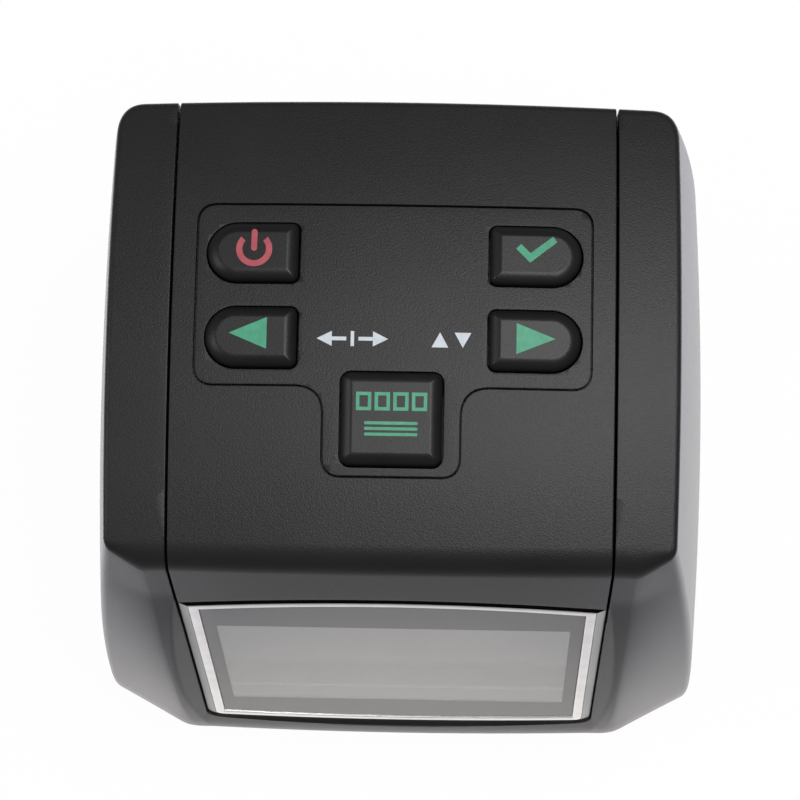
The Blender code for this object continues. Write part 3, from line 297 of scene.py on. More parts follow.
def bodySolid(name, inset, lowZ, fine, wallRows, filletRows, capRows):
    def at(index, z):
        point = bodyOutline(z, inset, fine)[index]
        return Vector((point.x, point.y, z))

    count = len(bodyOutline(lowZ, inset, fine))
    starts, corners, ends = [], [], []
    for index in range(count):
        point = at(index, form["topEdgeZ"])
        for _ in range(10):
            point = at(index, archZ(point.x, point.y, inset))
        corners.append(point)
    for index, point in enumerate(corners):
        along = corners[(index + 1) % count] - corners[index - 1]
        side = sideX(point.z) - inset - sideBow(point.y)
        facing = held((side - abs(point.x)) / (side - form["chamferX"]), 0, 1) if point.y < 0 else 0
        outward = Vector((along.y, -along.x, 0)).normalized() * (1 - facing)
        outward = (outward - Vector((0, facing, 0))).normalized()
        length = form["sideFillet"] + (form["frontFillet"] - form["sideFillet"]) * facing
        if inset:
            length = 0
        starts.append(at(index, point.z - length))
        end = point - outward * length
        ends.append(Vector((end.x, end.y, archZ(end.x, end.y, inset))))
    rings = []
    if inset == 0:
        low = form["footZ"] + form["bottomEdge"]
        for step in range(3):
            turn = step / 3 * pi / 2
            grow = form["bottomEdge"] * (1 - sin(turn))
            z = form["footZ"] + form["bottomEdge"] * (1 - cos(turn))
            rings.append([Vector((p.x, p.y, z)) for p in bodyOutline(low, max(grow, 0.000001), fine)])
        lowZ = low
    outlineRows = {}
    for row in range(wallRows):
        ring = []
        for index, start in enumerate(starts):
            z = lowZ + (start.z - lowZ) * row / wallRows
            key = round(z, 5)
            if key not in outlineRows:
                outlineRows[key] = bodyOutline(key, inset, fine)
            point = outlineRows[key][index]
            ring.append(Vector((point.x, point.y, z)))
        rings.append(ring)
    for step in range(filletRows + 1):
        t = step / filletRows
        rings.append([
            start * (1 - t) ** 2 + corner * 2 * t * (1 - t) + end * t**2
            for start, corner, end in zip(starts, corners, ends)
        ])
    # the cap runs in to a line just inside the seam, so that the seam's cut meets even faces
    lineX = form["seamX"] + form["seamGap"] / 2 - 0.00003
    cores = list(ends)
    for sign in (1, -1):
        chain = [index for index in range(count) if sign * ends[index].x > lineX]
        order = sorted(chain, key=lambda index: sign * index)
        lowY, highY = ends[order[0]].y, ends[order[-1]].y
        travel = [0.0]
        for before, after in zip(order, order[1:]):
            travel.append(travel[-1] + (ends[after] - ends[before]).length)
        for index, gone in zip(order, travel):
            share = gone / travel[-1]
            cores[index] = Vector((sign * lineX, lowY + (highY - lowY) * share, 0))
    for row in range(1, capRows + 1):
        share = row / capRows
        ring = []
        for core, end in zip(cores, ends):
            flat = end * (1 - share) + core * share
            ring.append(Vector((flat.x, flat.y, archZ(flat.x, flat.y, inset))))
        rings.append(ring)
    piece = wholeLoft(name, rings, (0, form["apexY"], form["height"] - inset))
    rightWayOut(piece)
    return piece


def screenOutline(inset, topInset, steps=5):
    # the display's outline in its own plane: arched top, bowed bottom, round lower corners
    half = screen["halfWidth"] - inset
    low = screen["bottom"] + inset
    high = screen["top"] - topInset
    radius = max(screen["corner"] - inset, 0.00005)
    corners = []
    for share in [step / steps * 0.85 for step in range(steps + 1)]:
        corners.append((half * share, low - screen["bottomBow"] * (1 - share**2), 0, 0))
    corners.append((half, low, radius, 8))
    corners.append((half, high, 0, 0))
    for share in [0.85 - step / steps * 0.85 for step in range(steps + 1)]:
        corners.append((half * share, high + screen["topArch"] * (1 - share**2), 0, 0))
    right = softenedOutline(corners)
    return right + [Vector((-point.x, point.y)) for point in reversed(right[1:-1])]


leanMatrix = Matrix.Translation((0, screen["y"], screen["z"])) @ Matrix.Rotation(pi / 2 - screen["lean"], 4, "X")


def leaned(piece):
    piece.data.transform(leanMatrix)
    return piece


# materials

def newMaterial(name):
    made = bpy.data.materials.new(name)
    made.use_nodes = True
    tree = made.node_tree
    return made, tree, tree.nodes["Principled BSDF"]


def feed(node, inputs):
    # each input gets a value, or the output that drives it
    for key, value in inputs.items():
        if isinstance(value, bpy.types.NodeSocket):
            node.id_data.links.new(value, node.inputs[key])
        else:
            node.inputs[key].default_value = value
    return node


def addNode(tree, kind, inputs, **settings):
    node = tree.nodes.new("ShaderNode" + kind)
    for key, value in settings.items():
        setattr(node, key, value)
    return feed(node, inputs)


def grainMaterial(name, look):
    # moulded plastic: uneven tone, fine grain in the surface and a little dust
    look = {**plainDust, **look}
    made, tree, shader = newMaterial(name)
    place = addNode(tree, "TexCoord", {}).outputs["Object"]
    tone = addNode(tree, "TexNoise", {"Scale": look["toneScale"], "Detail": 4, "Vector": place})
    shade = addNode(tree, "ValToRGB", {"Fac": tone.outputs["Fac"]})
    for element, position, way in zip(shade.color_ramp.elements, (0.35, 0.7), (-1, 1)):
        element.position = position
        element.color = (*[c * (1 + way * look["toneSpread"]) for c in look["colour"]], 1)
    specks = addNode(tree, "TexVoronoi", {"Scale": look["speckScale"], "Randomness": 1, "Vector": place})
    near = addNode(tree, "MapRange", {
        "From Min": look["speckSize"], "From Max": look["speckSize"] * 0.5, "Value": specks.outputs["Distance"],
    })
    apart = addNode(tree, "SeparateColor", {"Color": specks.outputs["Color"]})
    rare = addNode(tree, "MapRange", {
        "From Min": 1 - look["speckShare"], "From Max": 1 - look["speckShare"] * 0.8, "Value": apart.outputs["Red"],
    })
    both = addNode(tree, "Math", {0: near.outputs["Result"], 1: rare.outputs["Result"]}, operation="MULTIPLY")
    dusty = addNode(tree, "Mix", {
        "Factor": both.outputs["Value"], "A": shade.outputs["Color"], "B": (*look["dust"], 1),
    }, data_type="RGBA")
    grain = addNode(tree, "TexNoise", {"Scale": look["grainScale"], "Detail": 3, "Vector": place}).outputs["Fac"]
    low, high = look["roughness"] - look["roughSpread"], look["roughness"] + look["roughSpread"]
    rough = addNode(tree, "MapRange", {"To Min": low, "To Max": high, "Value": grain})
    relief = addNode(tree, "Bump", {"Strength": look["relief"], "Distance": 0.0001, "Height": grain})
    feed(shader, {
        "Base Color": dusty.outputs["Result"], "Roughness": rough.outputs["Result"], "Normal": relief.outputs["Normal"],
        "Specular IOR Level": look.get("gloss", 0.5), "Metallic": look.get("metal", 0),
    })
    return made


plainDust = dict(speckScale=260, speckSize=0.035, speckShare=0.05, dust=(0.3, 0.3, 0.3))
looks = dict(
    casingBlack=dict(colour=(0.013, 0.013, 0.0135), gloss=0.27, roughness=0.42, roughSpread=0.06, toneScale=60,
                     toneSpread=0.12, grainScale=4600, relief=0.42),
    panelBlack=dict(colour=(0.013, 0.013, 0.0135), gloss=0.27, roughness=0.42, roughSpread=0.06, toneScale=60,
                    toneSpread=0.12, grainScale=4600, relief=0.42),
    keyRubber=dict(colour=(0.008, 0.008, 0.008), gloss=0.32, roughness=0.42, roughSpread=0.05, toneScale=200,
                   toneSpread=0.15, grainScale=4200, relief=0.18),
    bezelGrey=dict(colour=(0.42, 0.417, 0.412), gloss=0.9, roughness=0.4, roughSpread=0.04, toneScale=100,
                   toneSpread=0.08, grainScale=4000, relief=0.1),
    trimSilver=dict(colour=(0.97, 0.95, 0.93), roughness=0.34, roughSpread=0.05, toneScale=300,
                    toneSpread=0.05, grainScale=5200, relief=0.06, metal=0.85),
    innerBlack=dict(colour=(0.02, 0.02, 0.02), roughness=0.55, roughSpread=0.06, toneScale=80,
                    toneSpread=0.15, grainScale=2600, relief=0.25),
    # painted shade: near-black with no gloss, for the frame's sides where the gap around the display falls into shade
    paintedShadeBlack=dict(colour=(0.004, 0.004, 0.004), gloss=0.0, roughness=0.9, roughSpread=0.04, toneScale=80,
                     toneSpread=0.15, grainScale=2600, relief=0.25, dust=(0.01, 0.01, 0.01)),
    footRubber=dict(colour=(0.028, 0.028, 0.028), roughness=0.85, roughSpread=0.05, toneScale=150,
                    toneSpread=0.2, grainScale=2400, relief=0.3),
    innerWhite=dict(colour=(0.78, 0.78, 0.76), roughness=0.5, roughSpread=0.05, toneScale=80,
                    toneSpread=0.04, grainScale=2600, relief=0.12),
    boardGreen=dict(colour=(0.02, 0.13, 0.05), roughness=0.35, roughSpread=0.05, toneScale=240,
                    toneSpread=0.25, grainScale=1800, relief=0.2),
    steel=dict(colour=(0.56, 0.56, 0.55), roughness=0.28, roughSpread=0.08, toneScale=300,
               toneSpread=0.06, grainScale=1500, relief=0.05, metal=1.0),
    ledYellow=dict(colour=(0.85, 0.72, 0.22), roughness=0.25, roughSpread=0.04, toneScale=200,
                   toneSpread=0.05, grainScale=2000, relief=0.05),
    sensorDark=dict(colour=(0.015, 0.02, 0.035), roughness=0.12, roughSpread=0.03, toneScale=300,
                    toneSpread=0.3, grainScale=2000, relief=0.02),
    printRed=dict(colour=(0.36, 0.055, 0.075), roughness=0.5, roughSpread=0.06, toneScale=900,
                  toneSpread=0.12, grainScale=4200, relief=0.12),
    printGreen=dict(colour=(0.035, 0.27, 0.15), roughness=0.5, roughSpread=0.06, toneScale=900,
                    toneSpread=0.12, grainScale=4200, relief=0.12),
    printWhite=dict(colour=(0.50, 0.54, 0.59), roughness=0.5, roughSpread=0.06, toneScale=900,
                    toneSpread=0.08, grainScale=4200, relief=0.12),
    borderPrint=dict(colour=(0.15, 0.15, 0.15), gloss=0.0, roughness=0.6, roughSpread=0.03, toneScale=90,
                     toneSpread=0.08, grainScale=4000, relief=0.02),
    lcdPale=dict(colour=(0.42, 0.42, 0.416), gloss=0.0, roughness=0.2, roughSpread=0.02, toneScale=45,
                 toneSpread=0.06, grainScale=5200, relief=0.02),
)
materials = {name: grainMaterial(name, look) for name, look in looks.items()}


def glassMaterial(name, tint):
    made, tree, shader = newMaterial(name)
    place = addNode(tree, "TexCoord", {})
    film = addNode(tree, "TexNoise", {"Scale": 120, "Vector": place.outputs["Object"]})
    haze = addNode(tree, "MapRange", {"To Min": 0.02, "To Max": 0.07, "Value": film.outputs["Fac"]})
    feed(shader, {
        "Roughness": haze.outputs["Result"], "Base Color": (*tint, 1), "Transmission Weight": 1, "IOR": 1.49,
    })
    return made


def paintedLightBands(made, bands):
    # painted light and shade in bands across the display's height, over the material's own colour: darker low down, a
    # bright line near the bottom and a lighter upper half
    tree = made.node_tree
    shader = tree.nodes["Principled BSDF"]
    colour = shader.inputs["Base Color"].links[0].from_socket
    place = addNode(tree, "TexCoord", {})
    along = addNode(tree, "VectorMath", {
        0: place.outputs["Object"], 1: (0, sin(screen["lean"]), cos(screen["lean"])),
    }, operation="DOT_PRODUCT")
    centre = screen["y"] * sin(screen["lean"]) + screen["z"] * cos(screen["lean"])
    height = addNode(tree, "MapRange", {
        "From Min": centre - screen["lcdY"], "From Max": centre + screen["lcdY"], "Value": along.outputs["Value"],
    })
    ramp = addNode(tree, "ValToRGB", {"Fac": height.outputs["Result"]})
    while len(ramp.color_ramp.elements) < len(bands):
        ramp.color_ramp.elements.new(0.5)
    for element, (position, value) in zip(ramp.color_ramp.elements, bands):
        element.position = position
        element.color = (value, value, value, 1)
    product = addNode(tree, "Mix", {
        "Factor": 1, "A": colour, "B": ramp.outputs["Color"],
    }, data_type="RGBA", blend_type="MULTIPLY")
    feed(shader, {"Base Color": product.outputs["Result"]})


# painted light and shade on the display: darker low down, a bright line near the bottom, lighter above the middle
paintedLightBands(materials["lcdPale"], (
    (0.0, 0.5), (0.15, 0.5), (0.17, 1.0), (0.19, 1.0), (0.21, 0.42), (0.46, 0.48), (0.56, 0.85), (1.0, 1.0),
))
materials["windowClear"] = glassMaterial("windowClear", (0.97, 0.97, 0.97))
materials["lensGlass"] = glassMaterial("lensGlass", (0.9, 0.94, 0.98))


def dress(piece, materialName, body="scanner", replaced=()):
    piece.data.materials.clear()
    piece.data.materials.append(materials[materialName])
    for node in replaced:
        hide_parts(node)
    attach(piece, body)
    return piece


print("materials mixed:", len(materials))


# outer casing: both sides and the chin

casing = dict(
    lipStart=0.0008, lipHeight=0.0014, lipReach=0.0017,
    fine=3, wallRows=44, filletRows=10, capRows=5, edge=0.00016,
)
slot = dict(y=0.0030, z=0.0300, depth=0.0620, height=0.0080, flare=0.0012, corner=0.0020)


def slotRing(side, out, grow):
    halfY, halfZ = slot["depth"] / 2 + grow, slot["height"] / 2 + grow
    radius = slot["corner"] + grow
    points = []
    for turn, (sideways, upwards) in enumerate(((1, -1), (1, 1), (-1, 1), (-1, -1))):
        y = slot["y"] + sideways * (halfY - radius)
        z = slot["z"] + upwards * (halfZ - radius)
        for step in range(9):
            angle = (turn - 1 + step / 8) * pi / 2
            points.append((y + radius * cos(angle), z + radius * sin(angle)))
    return [(side * (sideX(z) - sideBow(y) + out), y, z) for y, z in points]


def makeOuterCasing():
    shell = bodySolid("outerCasing", 0, 0, casing["fine"], casing["wallRows"], casing["filletRows"], casing["capRows"])
    hollow = bodySolid("hollow", form["wall"], -0.01, 1, 16, 1, 3)
    combine(shell, hollow)
    reach = 0.06
    stripHalf = form["seamX"] + form["seamGap"] / 2
    topZ = screen["z"] + screen["top"] * cos(screen["lean"])
    chinBack = screen["y"] + 0.005
    profile = ((chinBack, -reach), (reach, -reach), (reach, 0.12), (-reach, 0.12), (-reach, topZ), (chinBack, topZ))
    strip = wholeLoft("strip", [[(x, y, z) for y, z in profile] for x in (-stripHalf, stripHalf)])
    rightWayOut(strip)
    combine(shell, strip)
    # the opening for the display, with a round lip under it
    outline = screenOutline(-form["fit"], -form["fit"] - 0.01)
    levels = [(-0.01, 0), (-casing["lipStart"], 0)]
    for step in range(1, 9):
        turn = step / 8 * pi / 2
        levels.append((casing["lipHeight"] * sin(turn) - casing["lipStart"], casing["lipReach"] * (1 - cos(turn))))
    levels.append((0.01, casing["lipReach"]))
    opening = wholeLoft("opening", [
        [(p.x, p.y - lower if p.y < screen["bottom"] + screen["corner"] else p.y, height) for p in outline]
        for height, lower in levels
    ])
    rightWayOut(opening)
    leaned(opening)
    combine(shell, opening)
    rings = []
    for step in range(-6, 7):
        if step == 0:
            continue
        side = 1 if step > 0 else -1
        turn = (abs(step) - 1) / 4 * pi / 2
        # a quarter round flare, carried on straight past the wall
        if abs(step) <= 5:
            out = slot["flare"] * (sin(turn) - 1)
            grow = slot["flare"] * (1 - cos(turn))
        else:
            out, grow = slot["flare"] * 2, slot["flare"] * 3
        rings.append(slotRing(side, out, grow))
    cutter = wholeLoft("slotCutter", rings)
    rightWayOut(cutter)
    combine(shell, cutter)
    middle = Vector((0, 0.003, 0.05))

    def seamEdge(edge):
        near = all(abs(abs(v.co.x) - stripHalf) < 0.00002 for v in edge.verts)
        wallFace = [f for f in edge.link_faces if abs(f.normal.x) > 0.999]
        outside = [f for f in edge.link_faces if f.normal.dot(f.calc_center_median() - middle) > 0.006]
        return near and wallFace and len(outside) >= 1 and edge.verts[0].co.z > 0.0025

    print("seam edges rounded on the casing:", bevelWhere(shell, seamEdge, casing["edge"]))
    rightWayOut(shell)
    smoothed(shell)
    return dress(shell, "casingBlack", replaced=("outer_casing",))


makeOuterCasing()
print("outer casing made")


# top cover: over the arched top, down the front to the display and down the back

cover = dict(
    displayGap=0.0011, gapArch=0.0017, edge=0.0002,
    columns=30, backRows=34, backFilletRows=6, topRows=50, frontFilletRows=14, frontRows=10,
)


def coverProfile(x, inset, backFillet, frontFillet):
    # (y, z, depth) down the middle of the strip, from the foot of the back to the display
    def back(z):
        return backY(z) - form["backBow"] * (x / sideX(z)) ** 2 - inset

    def front(z):
        return frontY(z) - form["frontBow"] * (1 - (x / form["seamX"]) ** 2) + inset

    z = form["topEdgeZ"]
    for _ in range(10):
        z = archZ(x, back(z), inset)
    backCorner = Vector((back(z), z))
    z = form["topEdgeZ"]
    for _ in range(10):
        z = archZ(x, front(z), inset)
    frontCorner = Vector((front(z), z))
    rows = []
    low = form["footZ"]
    wallTop = backCorner.y - backFillet
    for row in range(cover["backRows"]):
        z = low + (wallTop - low) * row / cover["backRows"]
        rows.append((back(z), z, 0))
    start = Vector((back(wallTop), wallTop))
    endY = backCorner.x - backFillet
    end = Vector((endY, archZ(x, endY, inset)))
    for row in range(cover["backFilletRows"] + 1):
        t = row / cover["backFilletRows"]
        point = start * (1 - t) ** 2 + backCorner * 2 * t * (1 - t) + end * t**2
        rows.append((point.x, point.y, 0))
    farY = frontCorner.x + frontFillet
    for row in range(1, cover["topRows"]):
        y = endY + (farY - endY) * row / cover["topRows"]
        rows.append((y, archZ(x, y, inset), 0))
    start = Vector((farY, archZ(x, farY, inset)))
    lowZ = frontCorner.y - frontFillet
    end = Vector((front(lowZ), lowZ))
    for row in range(cover["frontFilletRows"] + 1):
        t = row / cover["frontFilletRows"]
        point = start * (1 - t) ** 2 + frontCorner * 2 * t * (1 - t) + end * t**2
        rows.append((point.x, point.y, 0))
    arch = (screen["topArch"] + cover["gapArch"]) * (1 - (x / screen["halfWidth"]) ** 2)
    rise = screen["top"] + arch + cover["displayGap"]
    stop = screen["z"] + rise * cos(screen["lean"]) - inset * sin(screen["lean"])
    edge = cover["edge"]
    for row in range(1, cover["frontRows"] + 1):
        z = lowZ + (stop + edge - lowZ) * row / cover["frontRows"]
        rows.append((front(z), z, 0))
    for step in range(1, 4):
        turn = step / 3 * pi / 2
        z = stop + edge * (1 - sin(turn))
        rows.append((front(z), z, edge * (1 - cos(turn)) if inset == 0 else 0))
    return rows


def makeTopCover():
    edge = cover["edge"]
    half = form["seamX"] - form["seamGap"] / 2
    flat, count = half - edge, cover["columns"]
    columns = [(-flat + flat * 2 * step / count, 0) for step in range(count + 1)]
    roll = []
    for step in range(1, 5):
        turn = step / 4 * pi / 2
        roll.append((half - edge + edge * sin(turn), edge * (1 - cos(turn))))
    columns = [(-x, depth) for x, depth in reversed(roll)] + columns + roll
    nudge = 0.00005
    outer, inner = [], []
    for x, sink in columns:
        rows = coverProfile(x, 0, form["sideFillet"], form["frontFillet"])
        before = coverProfile(x - nudge, 0, form["sideFillet"], form["frontFillet"])
        after = coverProfile(x + nudge, 0, form["sideFillet"], form["frontFillet"])
        line = []
        for row, (y, z, rowSink) in enumerate(rows):
            low, high = rows[max(row - 1, 0)], rows[min(row + 1, len(rows) - 1)]
            down = Vector((0, high[0] - low[0], high[1] - low[1]))
            across = Vector((2 * nudge, after[row][0] - before[row][0], after[row][1] - before[row][1]))
            outward = down.cross(across).normalized()
            if outward.dot(Vector((0, y, z - 0.05))) < 0:
                outward = -outward
            line.append(Vector((x, y, z)) - outward * max(sink, rowSink))
        outer.append(line)
        inner.append([Vector((x, y, z)) for y, z, _ in coverProfile(x, form["wall"], 0.0004, 0.0004)])
    rowCount, columnCount = len(outer[0]), len(outer)
    points = [tuple(p) for line in outer for p in line] + [tuple(p) for line in inner for p in line]
    base = rowCount * columnCount
    faces = []
    for column in range(columnCount - 1):
        for row in range(rowCount - 1):
            a = column * rowCount + row
            b = a + rowCount
            faces.append((a, b, b + 1, a + 1))
            faces.append((base + a, base + a + 1, base + b + 1, base + b))
        for row in (0, rowCount - 1):
            a = column * rowCount + row
            faces.append((a, a + rowCount, base + a + rowCount, base + a))
    for column in (0, columnCount - 1):
        for row in range(rowCount - 1):
            a = column * rowCount + row
            faces.append((a, a + 1, base + a + 1, base + a))
    piece = freshPiece("topCover", points, faces)
    rightWayOut(piece)
    return piece


panel = dict(halfWidth=0.0260, backY=0.0219, armY=-0.0023, stemY=-0.0141, stemHalf=0.00895,
             corner=0.0025, innerCorner=0.0040, thickness=0.0010, groove=0.00028, edge=0.0001, cell=0.0013)
keys = dict(
    x=0.01865, backY=0.0153, frontY=0.0039, width=0.0120, depth=0.0079, innerCorner=0.0009,
    scanY=-0.0067, scanWidth=0.0132, scanDepth=0.0121, scanCorner=0.0012,
    rise=0.0016, gap=0.00025, foot=0.0040,
)
# the keys' moulded edge from the wall up to the flat top: (inwards, down), in millimetres
keyEdge = (
    (0.0, 1.45), (0.03, 1.22), (0.09, 1.02), (0.19, 0.84), (0.33, 0.67), (0.50, 0.51),
    (0.69, 0.37), (0.88, 0.25), (1.07, 0.15), (1.25, 0.075), (1.42, 0.025), (1.58, 0.0),
)
keyPlaces = dict(
    power=(-keys["x"], keys["backY"], -1), ok=(keys["x"], keys["backY"], 1),
    left=(-keys["x"], keys["frontY"], -1), right=(keys["x"], keys["frontY"], 1),
    scan=(0, keys["scanY"], 0),
)


def panelOutline(grow):
    wide, narrow = panel["halfWidth"] + grow, panel["stemHalf"] + grow
    back, arm, front = panel["backY"] + grow, panel["armY"] - grow, panel["stemY"] - grow
    outer, inner = panel["corner"] + grow, panel["innerCorner"] - grow
    corners = (
        (0, front, 0, 0), (narrow, front, outer, 10), (narrow, arm, inner, 10),
        (wide, arm, outer, 10), (wide, back, outer, 10), (0, back, 0, 0),
    )
    points = softenedOutline(corners)
    return points + [Vector((-point.x, point.y)) for point in reversed(points[1:-1])]


def keyOutline(name, grow):
    x, y, side = keyPlaces[name]
    if side:
        halfX, halfY = keys["width"] / 2 + grow, keys["depth"] / 2 + grow
        roundEnd, inner = halfY - 0.00001, keys["innerCorner"] + grow
    else:
        halfX, halfY = keys["scanWidth"] / 2 + grow, keys["scanDepth"] / 2 + grow
        roundEnd = inner = keys["scanCorner"] + grow
    inner, roundEnd = max(inner, 0.0002), max(roundEnd, 0.0002)
    ends = (True, True, False, False) if side > 0 else (False, False, True, True)
    if not side:
        ends = (False,) * 4
    points = []
    for turn, ((sideways, upwards), isRound) in enumerate(zip(((1, -1), (1, 1), (-1, 1), (-1, -1)), ends)):
        steps, radius = (16, roundEnd) if isRound else (6, inner)
        for step in range(steps + 1):
            angle = (turn - 1 + step / steps) * pi / 2
            points.append((
                x + sideways * (halfX - radius) + radius * cos(angle),
                y + upwards * (halfY - radius) + radius * sin(angle),
            ))
    return points


def makeCoverAndPanel():
    piece = makeTopCover()
    top, low = form["height"] + 0.01, form["height"] - 0.01
    recess = flatPrism("recess", panelOutline(panel["groove"]), form["height"] - 0.0045, top)
    floor = bodySolid("recessFloor", panel["thickness"] + form["fit"], 0.0, 2, 10, 1, 8)
    combine(recess, floor)
    combine(piece, recess)
    holes = [flatPrism("hole", keyOutline(name, keys["gap"]), low, top) for name in keyPlaces]
    combine(piece, joined("holes", holes))
    combine(piece, backHoles())
    rightWayOut(piece)
    smoothed(piece)
    dress(piece, "casingBlack", replaced=("top_cover",))
    print("top cover made")

    inlay = flatPrism("keyPanel", panelOutline(0), -panel["thickness"], 0)
    holes = [flatPrism("hole", keyOutline(name, keys["gap"]), -0.01, 0.01) for name in keyPlaces]
    combine(inlay, joined("holes", holes))

    def topRim(edge):
        return all(v.co.z > -0.00001 for v in edge.verts)

    print("panel edges rounded:", bevelWhere(inlay, topRim, panel["edge"]))
    takeUp(inlay)
    bpy.ops.object.mode_set(mode="EDIT")
    for axis, reach in ((0, panel["halfWidth"]), (1, panel["backY"])):
        steps = int(2 * reach / panel["cell"])
        for step in range(1, steps):
            place = [0, 0, 0]
            place[axis] = -reach + 2 * reach * step / steps
            normal = [0, 0, 0]
            normal[axis] = 1
            bpy.ops.mesh.select_all(action="SELECT")
            bpy.ops.mesh.bisect(plane_co=place, plane_no=normal, threshold=0.000001)
    bpy.ops.object.mode_set(mode="OBJECT")
    for vertex in inlay.data.vertices:
        vertex.co.z += archZ(vertex.co.x, vertex.co.y)
    smoothed(inlay)
    dress(inlay, "panelBlack", replaced=("key_panel",))
    print("key panel made")


# sockets' mouths in the back wall

sockets = dict(
    usb=dict(x=-0.0140, z=0.0690, width=0.0076, height=0.0038),
    card=dict(x=0, z=0.0540, width=0.0260, height=0.0034),
    jack=dict(x=0.0150, z=0.0690, radius=0.0030),
    start=0.0332,
)


def backHoles():
    tools = []
    for name in ("usb", "card"):
        hole = sockets[name]
        pickNothing()
        bpy.ops.mesh.primitive_cube_add(
            size=1, location=(hole["x"], sockets["start"] + 0.01, hole["z"]),
            scale=(hole["width"] + 2 * form["fit"], 0.02, hole["height"] + 2 * form["fit"]),
        )
        tools.append(bpy.context.object)
    hole = sockets["jack"]
    pickNothing()
    bpy.ops.mesh.primitive_cylinder_add(
        vertices=48, radius=hole["radius"] + form["fit"], depth=0.02,
        location=(hole["x"], sockets["start"] + 0.01, hole["z"]), rotation=(pi / 2, 0, 0),
    )
    tools.append(bpy.context.object)
    for tool in tools:
        settle(tool)
    return joined("backHoles", tools)


makeCoverAndPanel()


# keys

def keyTopZ(name, x, y):
    centreX, centreY, _ = keyPlaces[name]
    top = archZ(centreX, centreY) + keys["rise"]
    tiltX = -centreX / form["crownRadius"]
    tiltY = -(centreY - form["apexY"]) / form["archRadius"]
    return top + tiltX * (x - centreX) + tiltY * (y - centreY)


def makeKey(name):
    # wall and moulded edge up to the flat top, then tilted to lie along the arched cover
    levels = [(0, -keys["foot"])] + [(-inwards / 1000, -down / 1000) for inwards, down in keyEdge]
    rings = []
    for grow, drop in levels:
        rings.append([(x, y, drop) for x, y in keyOutline(name, grow)])
    piece = wholeLoft(name + "Key", rings)
    rightWayOut(piece)
    for vertex in piece.data.vertices:
        vertex.co.z += keyTopZ(name, vertex.co.x, vertex.co.y)
    smoothed(piece, 60)
    return dress(piece, "keyRubber", name + "_key", (name + "_button",))


for name in keyPlaces:
    makeKey(name)
print("keys made")


# printed signs on keys and panel

def arcBand(centre, radius, width, start, stop, steps=32):
    outer, inner = [], []
    for step in range(steps + 1):
        angle = radians(start + (stop - start) * step / steps)
        outer.append((centre[0] + (radius + width / 2) * cos(angle), centre[1] + (radius + width / 2) * sin(angle)))
        inner.append((centre[0] + (radius - width / 2) * cos(angle), centre[1] + (radius - width / 2) * sin(angle)))
    return outer + inner[::-1]


def bar(start, end, width, rounded=True):
    # a straight stroke, with round ends if wanted
    a, b = Vector(start), Vector(end)
    along = (b - a).normalized()
    across = Vector((-along.y, along.x)) * width / 2
    if not rounded:
        return [tuple(p) for p in (a - across, b - across, b + across, a + across)]
    points = []
    for centre, facing in ((b, 1), (a, -1)):
        for step in range(9):
            angle = radians(-90 + 180 * step / 8)
            points.append(tuple(centre + (along * cos(angle) * width / 2 + across * sin(angle)) * facing))
    return points


def printedSign(name, outlines, height, materialName, body):
    # thin print that lies on the surface under it
    parts = []
    for outline in outlines:
        part = flatPrism("stroke", outline, -sign["sunk"], sign["proud"])
        parts.append(part)
    piece = joined(name, parts)
    for vertex in piece.data.vertices:
        vertex.co.z += height(vertex.co.x, vertex.co.y)
    smoothed(piece, 30)
    return dress(piece, materialName, body)


sign = dict(proud=0.00004, sunk=0.00004)


def makeSigns():
    def on(key):
        return lambda x, y: keyTopZ(key, x, y)

    centre = (-0.01845, 0.0155)
    ring = arcBand(centre, 0.00198, 0.00082, 90 + 47, 450 - 47)
    stem = bar((centre[0], centre[1] + 0.0001), (centre[0], centre[1] + 0.0023), 0.00078)
    printedSign("powerSign", [ring, stem], on("power"), "printRed", "power_key")
    left = [(-0.0215, 0.0042), (-0.0165, 0.0021), (-0.0165, 0.0063)]
    printedSign("leftSign", [left], on("left"), "printGreen", "left_key")
    right = [(0.0213, 0.0040), (0.0162, 0.0060), (0.0162, 0.0019)]
    printedSign("rightSign", [right], on("right"), "printGreen", "right_key")
    tick = [
        (0.0160, 0.0160), (0.01665, 0.01665), (0.01790, 0.01545),
        (0.02085, 0.01775), (0.0214, 0.0170), (0.01785, 0.01415),
    ]
    printedSign("tickSign", [tick], on("ok"), "printGreen", "ok_key")
    # a short strip of picture frames, and three lines for a list
    strokes = []
    low, high, width = -0.0058, -0.0034, 0.00045
    for step in range(4):
        start = -0.0046 + step * 0.00243
        stop = start + 0.0020
        for y in (low + width / 2, high - width / 2):
            strokes.append(bar((start, y), (stop, y), width, False))
        for x in (start + width / 2, stop - width / 2):
            strokes.append(bar((x, low + width), (x, high - width), width, False))
    for step in range(3):
        y = -0.00742 - step * 0.00073
        strokes.append(bar((-0.0033, y), (0.0033, y), 0.00040))
    printedSign("scanSign", strokes, on("scan"), "printGreen", "scan_key")
    # mirror: arrows away from a line; flip: one triangle up, one down
    y = 0.00385
    mirror = [
        [(-0.0100, y), (-0.0080, y - 0.0010), (-0.0080, y + 0.0010)], bar((-0.0080, y), (-0.0061, y), 0.0005, False),
        bar((-0.0053, y - 0.0010), (-0.0053, y + 0.0010), 0.00045, False),
        bar((-0.0045, y), (-0.0026, y), 0.0005, False), [(-0.0006, y), (-0.0026, y + 0.0010), (-0.0026, y - 0.0010)],
    ]
    flip = [
        [(0.0051, y - 0.0010), (0.0073, y - 0.0010), (0.0062, y + 0.0010)],
        [(0.0081, y + 0.0010), (0.0092, y - 0.0010), (0.0103, y + 0.0010)],
    ]
    printedSign("panelSigns", mirror + flip, lambda x, y: archZ(x, y), "printWhite", "scanner")


makeSigns()
print("signs printed")


# display

def ringLoft(name, levels):
    # a closed frame through outlines given as (inset, top inset, height)
    rings = [[(p.x, p.y, height) for p in screenOutline(inset, topInset)] for inset, topInset, height in levels]
    piece = wholeLoft(name, rings, looped=True)
    rightWayOut(piece)
    return leaned(piece)


